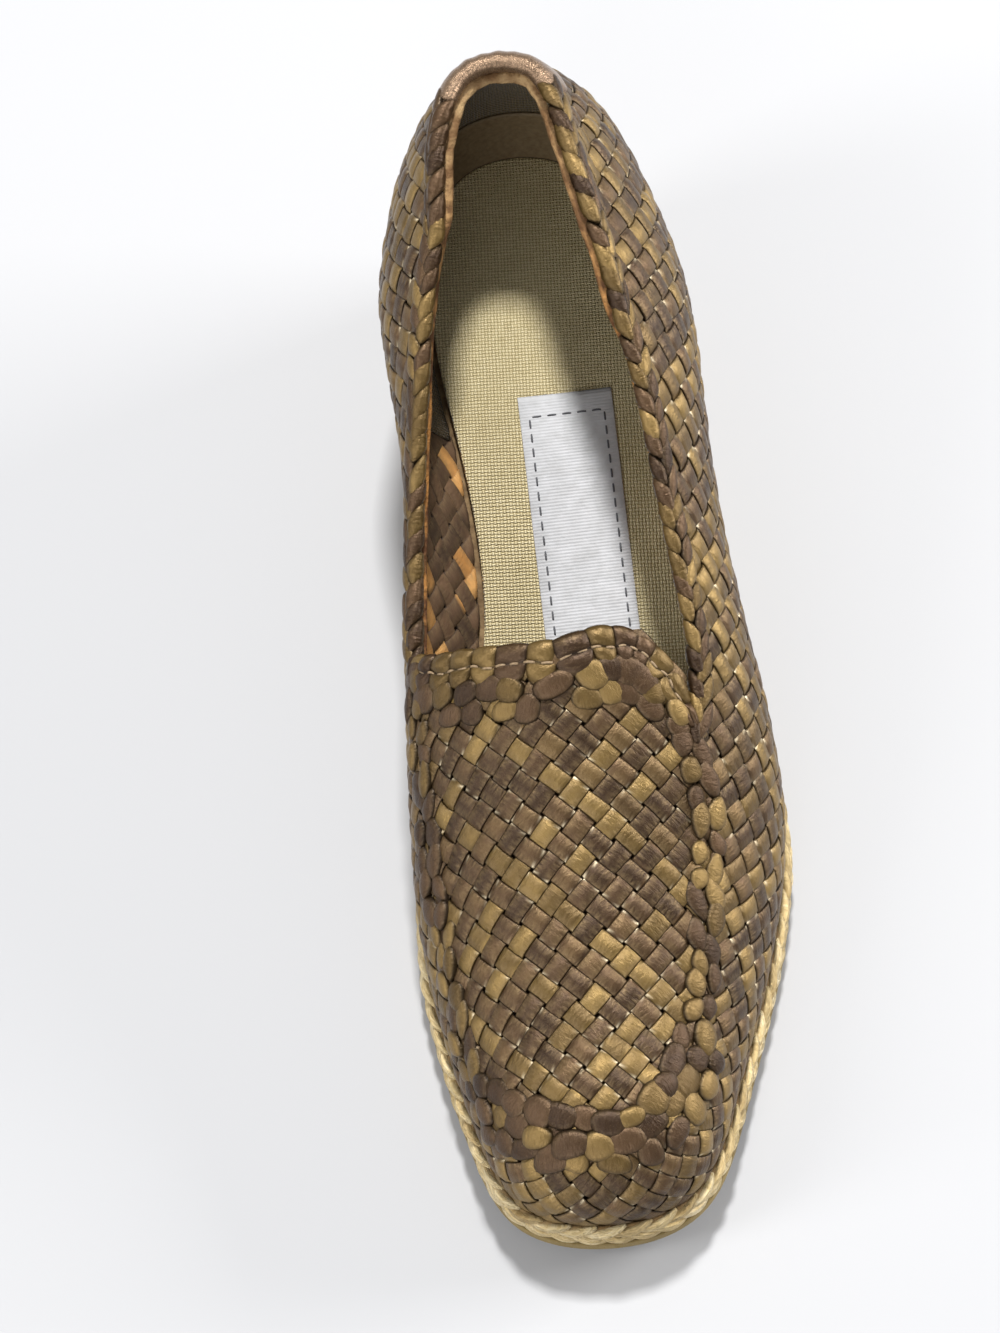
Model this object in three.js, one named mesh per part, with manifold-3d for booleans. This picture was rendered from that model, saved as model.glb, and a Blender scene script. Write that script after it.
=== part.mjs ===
// Woven leather slip-on shoe on a low jute wedge, left foot, empty and standing on its sole.
// Millimetres. +X is the outer side of the foot, -Y is the toe end and +Z is up.
import * as THREE from 'three';
import Module from 'manifold-3d';

const wasm = await Module();
wasm.setup();

// Driving sizes of the last, the shape that the upper is pulled over
const shoeLength = 248;      // heel to toe along the line where upper and sole meet
const ballWidth = 79;        // across the ball of the foot on the same line
const heelRise = 34;         // how much higher the heel seat lies than the ball
const soleStack = 12;        // rubber and jute under the ball
const instepHeight = 57;     // ridge of the upper above the sole at the throat
const backHeight = 62;       // collar above the sole at the back of the heel
const sideBulge = 14;        // how far the slack quarter swells over the sole edge
const bulgeReach = 55;       // height over which that swell begins and ends
const ribSquareness = 2.2;   // superellipse power across the ribs of the forefoot
const ribFullness = 1.9;     // superellipse power up the ribs of the forefoot

// Driving sizes of the pieces
const upperWall = 1.6;
const strapRelief = 0.55;    // how far each strip crossing stands out of the wall
const rubberThickness = 3.7;
const rubberEdge = 0.8;
const braidHeight = 8;
const braidThickness = 2.4;
const plaitRelief = 0.35;
const ropePitch = 5.2;
const ropeDepth = 1.1;
const wedgeTaper = 0.12;     // inward slope of the wedge side towards the floor
const insoleThickness = 3;
const insoleEdge = 1.2;
const bindingDepth = 9;
const bindingInside = 7;
const bindingThickness = 1;
const bindingShare = 0.066;  // how far along the shoe the binding reaches from the back
const labelWidth = 21.4;
const labelLength = 78;
const labelThickness = 0.5;
const labelStart = 62.1;     // from the back of the heel
const labelCentre = 5.7;     // towards the outer side
const clearance = 0.3;

// Throat edge of the opening, from the notch beside the quarter up to the ridge of the vamp, as
// shares of the shoe's length from the heel. The places lie closer together near the notch.
const throatEdge = {
  outer: [0.613, 0.608, 0.592, 0.571, 0.558, 0.549, 0.5435, 0.543, 0.546, 0.551],
  inner: [0.514, 0.515, 0.5175, 0.522, 0.528, 0.533, 0.539, 0.545, 0.550, 0.551],
};

// Sole edge line: one row for each point, from the heel's back along the outer side to the toe and back
const solePoints = [
  { along: 0.000, across: 0.000 },
  { along: 0.030, across: 0.224 },
  { along: 0.124, across: 0.305 },
  { along: 0.255, across: 0.348 },
  { along: 0.407, across: 0.385 },
  { along: 0.530, across: 0.467 },
  { along: 0.650, across: 0.527 },
  { along: 0.772, across: 0.450 },
  { along: 0.885, across: 0.316 },
  { along: 0.975, across: 0.172 },
  { along: 1.000, across: -0.065 },
  { along: 0.978, across: -0.296 },
  { along: 0.906, across: -0.403 },
  { along: 0.796, across: -0.475 },
  { along: 0.691, across: -0.486 },
  { along: 0.581, across: -0.402 },
  { along: 0.458, across: -0.272 },
  { along: 0.311, across: -0.270 },
  { along: 0.164, across: -0.314 },
  { along: 0.039, across: -0.230 },
];
const toePoint = 10;

// Sections at each tenth of the length. board is a share of heelRise, ridge of instepHeight,
// ridgeShift of ballWidth, the two toplines of backHeight and the two bulges of sideBulge.
const sections = [
  { board: 1.03, ridge: 1.39, ridgeShift: -0.058, topOut: 1.04, topIn: 1.04, bulgeOut: 0.17, bulgeIn: 0.17 },
  { board: 0.96, ridge: 1.38, ridgeShift: -0.057, topOut: 1.07, topIn: 1.02, bulgeOut: 0.46, bulgeIn: 0.36 },
  { board: 0.90, ridge: 1.41, ridgeShift: -0.050, topOut: 1.01, topIn: 0.87, bulgeOut: 0.69, bulgeIn: 0.68 },
  { board: 0.78, ridge: 1.39, ridgeShift: -0.044, topOut: 0.88, topIn: 0.70, bulgeOut: 0.62, bulgeIn: 0.80 },
  { board: 0.55, ridge: 1.25, ridgeShift: -0.046, topOut: 0.80, topIn: 0.57, bulgeOut: 0.55, bulgeIn: 0.99 },
  { board: 0.31, ridge: 1.08, ridgeShift: -0.044, topOut: 0.74, topIn: 0.53, bulgeOut: 0.46, bulgeIn: 0.97 },
  { board: 0.12, ridge: 0.91, ridgeShift: -0.041, topOut: 0.67, topIn: 0.53, bulgeOut: 0.28, bulgeIn: 0.53 },
  { board: 0.01, ridge: 0.74, ridgeShift: -0.043, topOut: 0.62, topIn: 0.54, bulgeOut: 0.10, bulgeIn: 0.21 },
  { board: 0.00, ridge: 0.60, ridgeShift: -0.049, topOut: 0.60, topIn: 0.56, bulgeOut: 0.05, bulgeIn: 0.06 },
  { board: 0.07, ridge: 0.48, ridgeShift: -0.058, topOut: 0.60, topIn: 0.57, bulgeOut: 0.05, bulgeIn: 0.05 },
  { board: 0.21, ridge: 0.41, ridgeShift: -0.059, topOut: 0.60, topIn: 0.57, bulgeOut: 0.05, bulgeIn: 0.05 },
];
const spineStart = 0.12;     // ribs behind and in front of these shares fan out from one point
const spineEnd = 0.86;
const springStart = 0.8;     // the sole lifts off the floor in front of this share

// A uniform cubic spline through a row of values, read at 0, 1, 2 and so on
function splineThrough(values, closed) {
  const last = values.length - 1;
  const wrap = (list, i) => {
    if (closed) return list[(i + list.length) % list.length];
    if (i < 0) return 2 * list[0] - list[1];
    return i > last ? 2 * list[last] - list[last - 1] : list[i];
  };
  let controls = values.slice();
  for (let pass = 0; pass < 40; pass++) {
    controls = controls.map((c, i) => {
      const there = (wrap(controls, i - 1) + 4 * c + wrap(controls, i + 1)) / 6;
      return c + values[i] - there;
    });
  }
  return (place) => {
    const i = closed ? Math.floor(place) : Math.min(Math.floor(place), last - 1);
    const f = place - i;
    const weights = [(1 - f) ** 3, 3 * f ** 3 - 6 * f ** 2 + 4, -3 * f ** 3 + 3 * f ** 2 + 3 * f + 1, f ** 3];
    return weights.reduce((sum, w, k) => sum + (w / 6) * wrap(controls, i + k - 1), 0);
  };
}

const clamp = THREE.MathUtils.clamp;
const soleAlong = splineThrough(solePoints.map((row) => row.along), true);
const soleAcross = splineThrough(solePoints.map((row) => row.across), true);

function sectionColumn(name) {
  const spline = splineThrough(sections.map((row) => row[name]), false);
  return (share) => spline(clamp(share, 0, 1) * (sections.length - 1));
}
const boardShare = sectionColumn('board');
const ridgeShare = sectionColumn('ridge');
const ridgeShift = sectionColumn('ridgeShift');
const toplines = { outer: sectionColumn('topOut'), inner: sectionColumn('topIn') };
const bulges = { outer: sectionColumn('bulgeOut'), inner: sectionColumn('bulgeIn') };

const sideOf = (u) => (u <= toePoint ? 'outer' : 'inner');
const boardHeight = (share) => soleStack + heelRise * boardShare(share);
const floorHeight = (share) => (share > springStart ? Math.max(0, boardHeight(share) - soleStack) : 0);

// Sole edge at u, moved outwards by an offset. y runs from the heel to the toe here.
function soleEdge(u, offset = 0) {
  const at = (t) => new THREE.Vector2(soleAcross(t) * ballWidth, soleAlong(t) * shoeLength);
  const step = 0.01;
  const tangent = at(u + step).sub(at(u - step)).normalize();
  return at(u).add(new THREE.Vector2(tangent.y, -tangent.x).multiplyScalar(offset));
}

// A rib of the last runs from the sole edge at u up to the ridge, over an angle share v of 0 to 1
function rib(u) {
  const foot = soleEdge(u);
  const share = foot.y / shoeLength;
  const spine = clamp(share, spineStart, spineEnd);
  const base = boardHeight(share) + clearance;
  const height = boardHeight(spine) + ridgeShare(spine) * instepHeight - base;
  const reach = new THREE.Vector2(ridgeShift(spine) * ballWidth, spine * shoeLength).sub(foot);
  const inward = reach.clone().normalize();
  const blend = clamp((share - 0.3) / 0.4, 0, 1);
  const square = 2 + (ribSquareness - 2) * blend;
  const full = 2 + (ribFullness - 2) * blend;
  const swell = bulges[sideOf(u)](share) * sideBulge;
  const swellHeight = Math.min(bulgeReach, 0.95 * height);
  return { foot, share, base, height, reach, inward, square, full, swell, swellHeight };
}

function lastPoint(u, v) {
  const r = rib(u);
  const angle = v * Math.PI / 2;
  const inwards = 1 - Math.max(0, Math.cos(angle)) ** (2 / r.square);
  const up = Math.sin(angle) ** (2 / r.full);
  const s = clamp(up * r.height / r.swellHeight, 0, 1);
  const flat = r.foot.clone().addScaledVector(r.reach, inwards);
  flat.addScaledVector(r.inward, -4 * r.swell * s * (1 - s));
  return new THREE.Vector3(flat.x, -flat.y, r.base + r.height * up);
}

function shareAtHeight(u, height) {
  const r = rib(u);
  return Math.asin(clamp(height / r.height, 0, 1) ** (r.full / 2)) / (Math.PI / 2);
}

function lastNormal(u, v) {
  const step = 0.004;
  const low = Math.max(0, v - step);
  const along = lastPoint(u + step * 10, v).sub(lastPoint(u - step * 10, v));
  return lastPoint(u, v + step).sub(lastPoint(u, low)).cross(along).normalize();
}

const lastPointOut = (u, v, out) => lastPoint(u, v).addScaledVector(lastNormal(u, v), out);
const collarAt = (u) => shareAtHeight(u, toplines[sideOf(u)](rib(u).share) * backHeight);

// The place u on one side of the sole edge that lies at a share of the length
function placeAt(share, side) {
  let low = side === 'outer' ? 0 : solePoints.length;
  let high = toePoint;
  for (let pass = 0; pass < 40; pass++) {
    const middle = (low + high) / 2;
    if (soleAlong(middle) < share) low = middle;
    else high = middle;
  }
  return (low + high) / 2;
}

// Columns round the sole edge at even steps, each outer one facing an inner one at the same share
function soleColumns(half) {
  const fine = 800;
  const lengths = [0];
  for (let i = 1; i <= fine; i++) {
    const step = soleEdge((i / fine) * toePoint).distanceTo(soleEdge(((i - 1) / fine) * toePoint));
    lengths.push(lengths[i - 1] + step);
  }
  const outer = [];
  for (let k = 0; k <= half; k++) {
    const i = lengths.findIndex((length) => length >= (k / half) * lengths[fine] - 1e-9);
    outer.push((i / fine) * toePoint);
  }
  const inner = outer.slice(1, half).map((u) => placeAt(soleAlong(u), 'inner'));
  return [...outer, ...inner.reverse()];
}

function solidFrom(points, triangles) {
  const vertProperties = new Float32Array(points.flatMap((p) => [p.x, p.y, p.z]));
  const triVerts = new Uint32Array(triangles.flat());
  return new wasm.Manifold(new wasm.Mesh({ numProp: 3, vertProperties, triVerts }));
}

function meshFrom(name, solid, look) {
  const { vertProperties, triVerts } = solid.getMesh();
  const geometry = new THREE.BufferGeometry();
  geometry.setAttribute('position', new THREE.BufferAttribute(new Float32Array(vertProperties), 3));
  geometry.setIndex(new THREE.BufferAttribute(new Uint32Array(triVerts), 1));
  geometry.computeVertexNormals();
  const mesh = new THREE.Mesh(geometry, new THREE.MeshStandardMaterial(look));
  mesh.name = name;
  return mesh;
}

// Two triangles for the cell between columns i and i + 1 and the rows that start at a and b
function cell(triangles, a, b, i, next) {
  triangles.push([a + i, a + next, b + next], [a + i, b + next, b + i]);
}

// A solid through closed loops, lowest first, shut below and above by strips from side to side
function layeredSolid(loops) {
  const count = loops[0].length;
  const triangles = [];
  for (let layer = 0; layer + 1 < loops.length; layer++) {
    for (let i = 0; i < count; i++) {
      cell(triangles, (layer + 1) * count, layer * count, i, (i + 1) % count);
    }
  }
  const top = (loops.length - 1) * count;
  for (let i = 0; i < count / 2; i++) {
    const mirror = (k) => (count - k) % count;
    const corners = [i, i + 1, mirror(i + 1), mirror(i)];
    for (const [a, b, c] of [[0, 1, 2], [0, 2, 3]]) {
      const face = [corners[a], corners[b], corners[c]];
      if (new Set(face).size < 3) continue;
      triangles.push(face);
      triangles.push([top + face[0], top + face[2], top + face[1]]);
    }
  }
  return solidFrom(loops.flat(), triangles);
}

const shareOf = (point) => clamp(point.y / shoeLength, 0, 1);

// A closed loop round the shoe. Offset and height are functions of the share of the length.
function loopAt(columns, offset, height) {
  return columns.map((u) => {
    const edge = soleEdge(u, offset(shareOf(soleEdge(u))));
    return new THREE.Vector3(edge.x, -edge.y, height(shareOf(edge)));
  });
}

// Rubber outsole, flat from the heel to the ball and lifted at the toe
const plainColumns = soleColumns(36);
const braidFace = clearance + braidThickness;
const braidFoot = (share) => boardHeight(share) - braidHeight;
const rubberTop = (share) => floorHeight(share) + rubberThickness;
const tapered = (share, height) => braidFace - wedgeTaper * Math.max(0, braidFoot(share) - height);

function outsoleSolid() {
  const offset = (inset) => (share) => tapered(share, rubberTop(share)) - inset;
  return layeredSolid([
    loopAt(plainColumns, offset(rubberEdge), floorHeight),
    loopAt(plainColumns, offset(0), (share) => floorHeight(share) + rubberEdge),
    loopAt(plainColumns, offset(0), (share) => rubberTop(share) - rubberEdge / 2),
    loopAt(plainColumns, offset(rubberEdge / 2), rubberTop),
  ]);
}

// Wedge wrapped in rows of jute rope. The rows lie level and stop under the plaited foxing.
function wedgeSolid() {
  const foot = (share) => rubberTop(share) + clearance;
  const rows = Math.ceil((boardHeight(0) - braidHeight - rubberThickness) / ropePitch);
  const loops = [];
  for (let k = 0; k <= 2 * rows; k++) {
    const height = (share) => foot(share) + (k * ropePitch) / 2;
    const groove = k % 2 === 0 ? ropeDepth : 0;
    loops.push(loopAt(plainColumns, (share) => tapered(share, height(share)) - groove, height));
  }
  const ropes = layeredSolid(loops);
  const seat = (share) => braidFoot(share) - clearance;
  const beyond = () => 2 * braidFace;
  const above = layeredSolid([
    loopAt(plainColumns, beyond, seat),
    loopAt(plainColumns, beyond, () => boardHeight(0) + heelRise),
  ]);
  const edge = () => 0;
  const core = layeredSolid([loopAt(plainColumns, edge, foot), loopAt(plainColumns, edge, boardHeight)]);
  return ropes.subtract(above).add(core);
}

// Plaited jute foxing: a two-row braid that runs right round the sole edge
function foxingSolid() {
  const columns = soleColumns(56);
  const section = [
    { out: 0, up: 0, plait: 0 },
    { out: 0.7, up: 0, plait: 0 },
    { out: 1, up: 0.25, plait: 1 },
    { out: 0.78, up: 0.5, plait: 0 },
    { out: 1, up: 0.75, plait: -1 },
    { out: 0.66, up: 1, plait: 0 },
    { out: 0, up: 1, plait: 0 },
  ];
  const points = [];
  for (const [i, u] of columns.entries()) {
    for (const row of section) {
      const ripple = row.plait * (i % 2 === 0 ? 1 : -1) - Math.abs(row.plait);
      const edge = soleEdge(u, clearance + row.out * braidThickness + ripple * plaitRelief);
      const height = braidFoot(shareOf(edge)) + row.up * braidHeight;
      points.push(new THREE.Vector3(edge.x, -edge.y, height));
    }
  }
  const count = section.length;
  const triangles = [];
  for (let i = 0; i < columns.length; i++) {
    const a = i * count;
    const b = ((i + 1) % columns.length) * count;
    for (let k = 0; k < count; k++) cell(triangles, a, b, k, (k + 1) % count);
  }
  return solidFrom(points, triangles);
}

// The whole last as a shell that is open underneath. Alternate crossings stand out of the wall.
function shellSolid() {
  const half = 64;
  const rows = 21;
  const innerStep = 3;
  const columns = soleColumns(half);
  const count = columns.length;
  const smooth = [];
  const indexOf = new Map();
  const ribs = columns.map((u) => rib(u).share);
  const keyOf = (i, j) => {
    if (j < rows) return `${j}:${i}`;
    if (ribs[i] <= spineStart) return 'heel';
    if (ribs[i] >= spineEnd) return 'toe';
    return `ridge:${Math.min(i, count - i)}`;
  };
  const grid = columns.map((u, i) => {
    const column = [];
    for (let j = 0; j <= rows; j++) {
      const key = keyOf(i, j);
      if (!indexOf.has(key)) {
        indexOf.set(key, smooth.length);
        smooth.push({ point: lastPoint(u, j / rows), normal: new THREE.Vector3(), i, j, u });
      }
      column.push(indexOf.get(key));
    }
    return column;
  });
  const faces = (step, shift, flip) => {
    const list = [];
    for (let i = 0; i < count; i++) {
      const next = (i + 1) % count;
      for (let j = 0; j + step <= rows; j += step) {
        const corners = [grid[i][j], grid[next][j], grid[next][j + step], grid[i][j + step]];
        for (const face of [[0, 2, 1], [0, 3, 2]]) {
          const ids = face.map((k) => corners[k]);
          if (new Set(ids).size < 3) continue;
          list.push((flip ? ids.reverse() : ids).map((k) => k + shift));
        }
      }
    }
    return list;
  };
  const outer = faces(1, 0, false);
  for (const [a, b, c] of outer) {
    const ab = smooth[b].point.clone().sub(smooth[a].point);
    const normal = ab.cross(smooth[c].point.clone().sub(smooth[a].point));
    for (const k of [a, b, c]) smooth[k].normal.add(normal);
  }
  for (const vertex of smooth) vertex.normal.normalize();
  const reliefAt = ({ i, j, u }) => {
    if (j === 0 || j === rows || (i + j) % 2 === 1) return 0;
    if (rib(u).share < bindingShare * 1.3 && j / rows > collarAt(u) - 0.14) return 0;
    const crowd = ribs[i] > spineEnd ? clamp((rows - j) / 6, 0, 1) : 1;
    return strapRelief * crowd;
  };
  const outside = smooth.map((vertex) => vertex.point.clone().addScaledVector(vertex.normal, reliefAt(vertex)));
  const inside = smooth.map((vertex) => vertex.point.clone().addScaledVector(vertex.normal, -upperWall));
  for (let i = 0; i < count; i++) inside[grid[i][0]].z = outside[grid[i][0]].z;
  const triangles = [...outer, ...faces(innerStep, smooth.length, true)];
  for (let i = 0; i < count; i++) {
    const a = grid[i][0];
    const b = grid[(i + 1) % count][0];
    triangles.push([a, b, b + smooth.length], [a, b + smooth.length, a + smooth.length]);
  }
  return { points: [...outside, ...inside], triangles };
}

// Edge of the opening: along the collar to the notch, then over the ridge, as places u and v
function openingEdge(side) {
  const [notch, ...throat] = throatEdge[side];
  const edge = [];
  const collarSteps = 30;
  for (let k = 1; k <= collarSteps; k++) {
    const u = placeAt(notch * (k / collarSteps) ** 1.5, side);
    edge.push({ u, v: collarAt(u) });
  }
  const start = edge[edge.length - 1].v;
  throat.forEach((along, k) => {
    const rise = ((k + 1) / throat.length) ** 2;
    edge.push({ u: placeAt(along, side), v: start + (1 - start) * rise });
  });
  return edge;
}

// A block that fills the opening, with sides square to the wall along the edge
function openingBlock() {
  const reach = 5;
  const back = { u: 0, v: collarAt(0) };
  const outer = openingEdge('outer');
  const inner = openingEdge('inner');
  const round = [back, ...outer, ...inner.slice(0, -1).reverse()];
  const roof = boardHeight(0) + 2 * instepHeight;
  const low = round.map(({ u, v }) => lastPointOut(u, v, -reach));
  const high = round.map(({ u, v }) => lastPointOut(u, v, reach));
  const up = high.map((p) => new THREE.Vector3(p.x, p.y, roof));
  return layeredSolid([low, high, up]);
}

function upperSolid() {
  const { points, triangles } = shellSolid();
  return solidFrom(points, triangles).subtract(openingBlock());
}

// Leather binding folded over the back of the collar
function bindingSolid() {
  const steps = 14;
  const ends = [placeAt(bindingShare, 'inner') - solePoints.length, placeAt(bindingShare, 'outer')];
  const points = [];
  const section = [
    { out: clearance + bindingThickness, down: bindingDepth },
    { out: clearance + bindingThickness, down: bindingDepth / 2 },
    { out: clearance + bindingThickness, down: 0 },
    { out: clearance, down: -clearance - bindingThickness },
    { out: -upperWall - clearance, down: -clearance - bindingThickness },
    { out: -upperWall - clearance - bindingThickness, down: 0 },
    { out: -upperWall - clearance - bindingThickness, down: bindingInside },
    { out: -upperWall - clearance, down: bindingInside },
    { out: -upperWall - clearance, down: -clearance },
    { out: clearance, down: -clearance },
    { out: clearance, down: bindingDepth / 2 },
    { out: clearance, down: bindingDepth },
  ];
  for (let i = 0; i <= steps; i++) {
    const u = ends[0] + (ends[1] - ends[0]) * (i / steps);
    const place = u < 0 ? u + solePoints.length : u;
    const v = collarAt(place);
    const height = rib(place).height * Math.sin(v * Math.PI / 2);
    for (const row of section) points.push(lastPointOut(place, shareAtHeight(place, height - row.down), row.out));
  }
  const count = section.length;
  const triangles = [];
  for (let i = 0; i < steps; i++) {
    for (let k = 0; k < count; k++) cell(triangles, i * count, (i + 1) * count, k, (k + 1) % count);
  }
  const strips = [[0, 1, 10, 11], [1, 2, 9, 10], [2, 3, 9, 9], [3, 4, 8, 9], [4, 5, 8, 8], [5, 6, 7, 8]];
  for (const [a, b, c, d] of strips) {
    for (const face of [[a, b, c], [a, c, d]]) {
      if (new Set(face).size < 3) continue;
      triangles.push([face[0], face[2], face[1]]);
      triangles.push(face.map((k) => k + steps * count));
    }
  }
  return solidFrom(points, triangles);
}

// Linen-covered insole inside the upper
const insoleFoot = (share) => boardHeight(share) + clearance;
const insoleTop = (share) => insoleFoot(share) + insoleThickness;

function insoleSolid() {
  const inset = (extra) => () => -(upperWall + 2 * clearance + insoleEdge / 3 + extra);
  return layeredSolid([
    loopAt(plainColumns, inset(0), insoleFoot),
    loopAt(plainColumns, inset(0), (share) => insoleTop(share) - insoleEdge),
    loopAt(plainColumns, inset(insoleEdge), insoleTop),
  ]);
}

// Plain woven label laid along the insole, its front end out of sight under the vamp
function labelSolid() {
  const steps = 13;
  const points = [];
  for (let i = 0; i <= steps; i++) {
    const y = labelStart + (labelLength * i) / steps;
    const foot = insoleTop(y / shoeLength) + clearance;
    for (const [side, lift] of [[-1, labelThickness], [1, labelThickness], [1, 0], [-1, 0]]) {
      points.push(new THREE.Vector3(labelCentre + (side * labelWidth) / 2, -y, foot + lift));
    }
  }
  const triangles = [];
  for (let i = 0; i < steps; i++) {
    for (let k = 0; k < 4; k++) cell(triangles, (i + 1) * 4, i * 4, k, (k + 1) % 4);
  }
  const end = steps * 4;
  triangles.push([0, 1, 2], [0, 2, 3], [end, end + 2, end + 1], [end, end + 3, end + 2]);
  return solidFrom(points, triangles);
}

const rubber = { color: 0x8a6f3c, roughness: 0.75, metalness: 0 };
const jute = { color: 0xd2bb84, roughness: 0.9, metalness: 0 };
const plait = { color: 0xd9c593, roughness: 0.88, metalness: 0 };
const wovenLeather = { color: 0x7b6042, roughness: 0.42, metalness: 0.25 };
const bronzeLeather = { color: 0x8d7360, roughness: 0.32, metalness: 0.4 };
const linen = { color: 0xa39264, roughness: 0.92, metalness: 0 };
const whiteTape = { color: 0xe4e4e2, roughness: 0.7, metalness: 0 };

const shoe = new THREE.Group();
shoe.add(meshFrom('outsole', outsoleSolid(), rubber));
shoe.add(meshFrom('jute_wedge', wedgeSolid(), jute));
shoe.add(meshFrom('foxing_braid', foxingSolid(), plait));
shoe.add(meshFrom('upper', upperSolid(), wovenLeather));
shoe.add(meshFrom('heel_binding', bindingSolid(), bronzeLeather));
shoe.add(meshFrom('insole', insoleSolid(), linen));
shoe.add(meshFrom('insole_label', labelSolid(), whiteTape));

// The origin is on the floor, under the middle of the whole shoe
const box = new THREE.Box3().setFromObject(shoe);
const middle = box.getCenter(new THREE.Vector3());
shoe.position.set(-middle.x, -middle.y, -box.min.z);
shoe.updateMatrixWorld(true);

export default shoe;
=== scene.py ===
"""The looks of a woven slip-on shoe on a low jute wedge, left foot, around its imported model."""
import math

import bpy
import numpy as np
from mathutils import Matrix, Vector


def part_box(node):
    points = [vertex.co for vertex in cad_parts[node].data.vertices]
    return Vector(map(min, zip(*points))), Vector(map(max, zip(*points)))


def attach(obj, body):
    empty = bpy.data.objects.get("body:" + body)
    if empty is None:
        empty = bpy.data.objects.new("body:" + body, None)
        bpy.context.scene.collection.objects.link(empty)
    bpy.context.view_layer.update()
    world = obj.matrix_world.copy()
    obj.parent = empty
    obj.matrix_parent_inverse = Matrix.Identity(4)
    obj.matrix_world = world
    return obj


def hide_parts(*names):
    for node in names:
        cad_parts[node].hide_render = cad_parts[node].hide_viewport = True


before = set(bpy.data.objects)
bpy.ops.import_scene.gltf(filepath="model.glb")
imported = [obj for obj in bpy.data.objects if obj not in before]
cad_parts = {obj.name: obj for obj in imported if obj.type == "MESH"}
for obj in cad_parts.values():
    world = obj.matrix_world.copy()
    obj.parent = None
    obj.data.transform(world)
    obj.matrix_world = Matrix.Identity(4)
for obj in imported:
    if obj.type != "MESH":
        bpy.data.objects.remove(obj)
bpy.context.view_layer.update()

# The camera stands in front of the toe and looks steeply down on the shoe, slightly rolled.
# It is a long lens at arm's length.
camera_place = Vector((-0.0158, -0.3422, 0.838))
camera_aim = Vector((-0.0173, -0.0012, 0.04))
camera_roll = math.radians(-6.9)
camera_data = bpy.data.cameras.new("camera")
camera_data.lens = 105.8
camera_data.sensor_width = 36
camera = bpy.data.objects.new("camera", camera_data)
bpy.context.scene.collection.objects.link(camera)
looking = (camera_aim - camera_place).to_track_quat("-Z", "Y").to_matrix().to_4x4()
camera.matrix_world = Matrix.Translation(camera_place) @ looking @ Matrix.Rotation(camera_roll, 4, "Z")
bpy.context.scene.camera = camera

# The studio is a plain pale floor that runs back out of sight. A small soft light hangs high
# behind the heel, and dimmer, wider ones at both sides and in front with a pale surround fill in.
class Finish:
    """A material in the making: each method adds one node and gives its output."""

    def __init__(self, name):
        self.material = bpy.data.materials.new(name)
        self.material.use_nodes = True
        self.tree = self.material.node_tree
        self.tree.nodes.clear()
        self.place = self.node("TexCoord").outputs["Object"]

    def node(self, kind, inputs=None, **settings):
        node = self.tree.nodes.new("ShaderNode" + kind)
        for name, value in settings.items():
            setattr(node, name, value)
        for name, value in (inputs or {}).items():
            self.plug(node.inputs[name], value)
        return node

    def plug(self, socket, value):
        if isinstance(value, bpy.types.NodeSocket):
            self.tree.links.new(value, socket)
        elif socket.type == "RGBA" and len(value) == 3:
            socket.default_value = (*value, 1)
        else:
            socket.default_value = value

    def value_of(self, name):
        """A number or a place that the mesh holds for each of its points."""
        found = self.node("Attribute", attribute_name=name)
        return found.outputs["Fac"], found.outputs["Vector"]

    def math(self, operation, *values):
        return self.node("Math", dict(enumerate(values)), operation=operation).outputs[0]

    def stretched(self, place, factors):
        return self.node("VectorMath", {0: place, 1: factors}, operation="MULTIPLY").outputs[0]

    def noise(self, place, scale, detail=3, roughness=0.55):
        inputs = {"Vector": place, "Scale": scale, "Detail": detail, "Roughness": roughness}
        return self.node("TexNoise", inputs).outputs["Fac"]

    def spread(self, value, low, high, to_low=0, to_high=1):
        inputs = {"Value": value, "From Min": low, "From Max": high, "To Min": to_low, "To Max": to_high}
        return self.node("MapRange", inputs).outputs["Result"]

    def mix(self, share, first, second, blend="MIX"):
        node = self.node("Mix", data_type="RGBA", blend_type=blend)
        for index, value in ((0, share), (6, first), (7, second)):
            self.plug(node.inputs[index], value)
        return node.outputs[2]

    def bump(self, height, depth, below=None):
        node = self.node("Bump", {"Height": height, "Distance": depth, "Strength": 1})
        if below is not None:
            self.plug(node.inputs["Normal"], below)
        return node.outputs["Normal"]

    def finish(self, colour, roughness, normal=None, **constants):
        shader = self.node("BsdfPrincipled", {"Base Color": colour, "Roughness": roughness})
        if normal is not None:
            self.plug(shader.inputs["Normal"], normal)
        for name, value in constants.items():
            self.plug(shader.inputs[name.replace("_", " ")], value)
        out = self.node("OutputMaterial")
        self.tree.links.new(shader.outputs[0], out.inputs["Surface"])
        return self.material


floor_size = 3.0
floor_colour = (0.42, 0.42, 0.425)
floor_mesh = bpy.data.meshes.new("floor")
half = floor_size / 2
floor_corners = [(-half, -half, 0), (half, -half, 0), (half, half, 0), (-half, half, 0)]
floor_mesh.from_pydata(floor_corners, [], [(0, 1, 2, 3)])
floor = bpy.data.objects.new("floor", floor_mesh)
bpy.context.scene.collection.objects.link(floor)
paint = Finish("floor_paint")
floor_mesh.materials.append(paint.finish(floor_colour, 0.6, Specular_IOR_Level=0.2))


def soft_light(name, place, aim, size, watts):
    data = bpy.data.lights.new(name, "AREA")
    data.shape = "RECTANGLE"
    data.size, data.size_y = size
    data.energy = watts
    light = bpy.data.objects.new(name, data)
    bpy.context.scene.collection.objects.link(light)
    turn = (Vector(aim) - Vector(place)).to_track_quat("-Z", "Y").to_matrix().to_4x4()
    light.matrix_world = Matrix.Translation(place) @ turn


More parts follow.
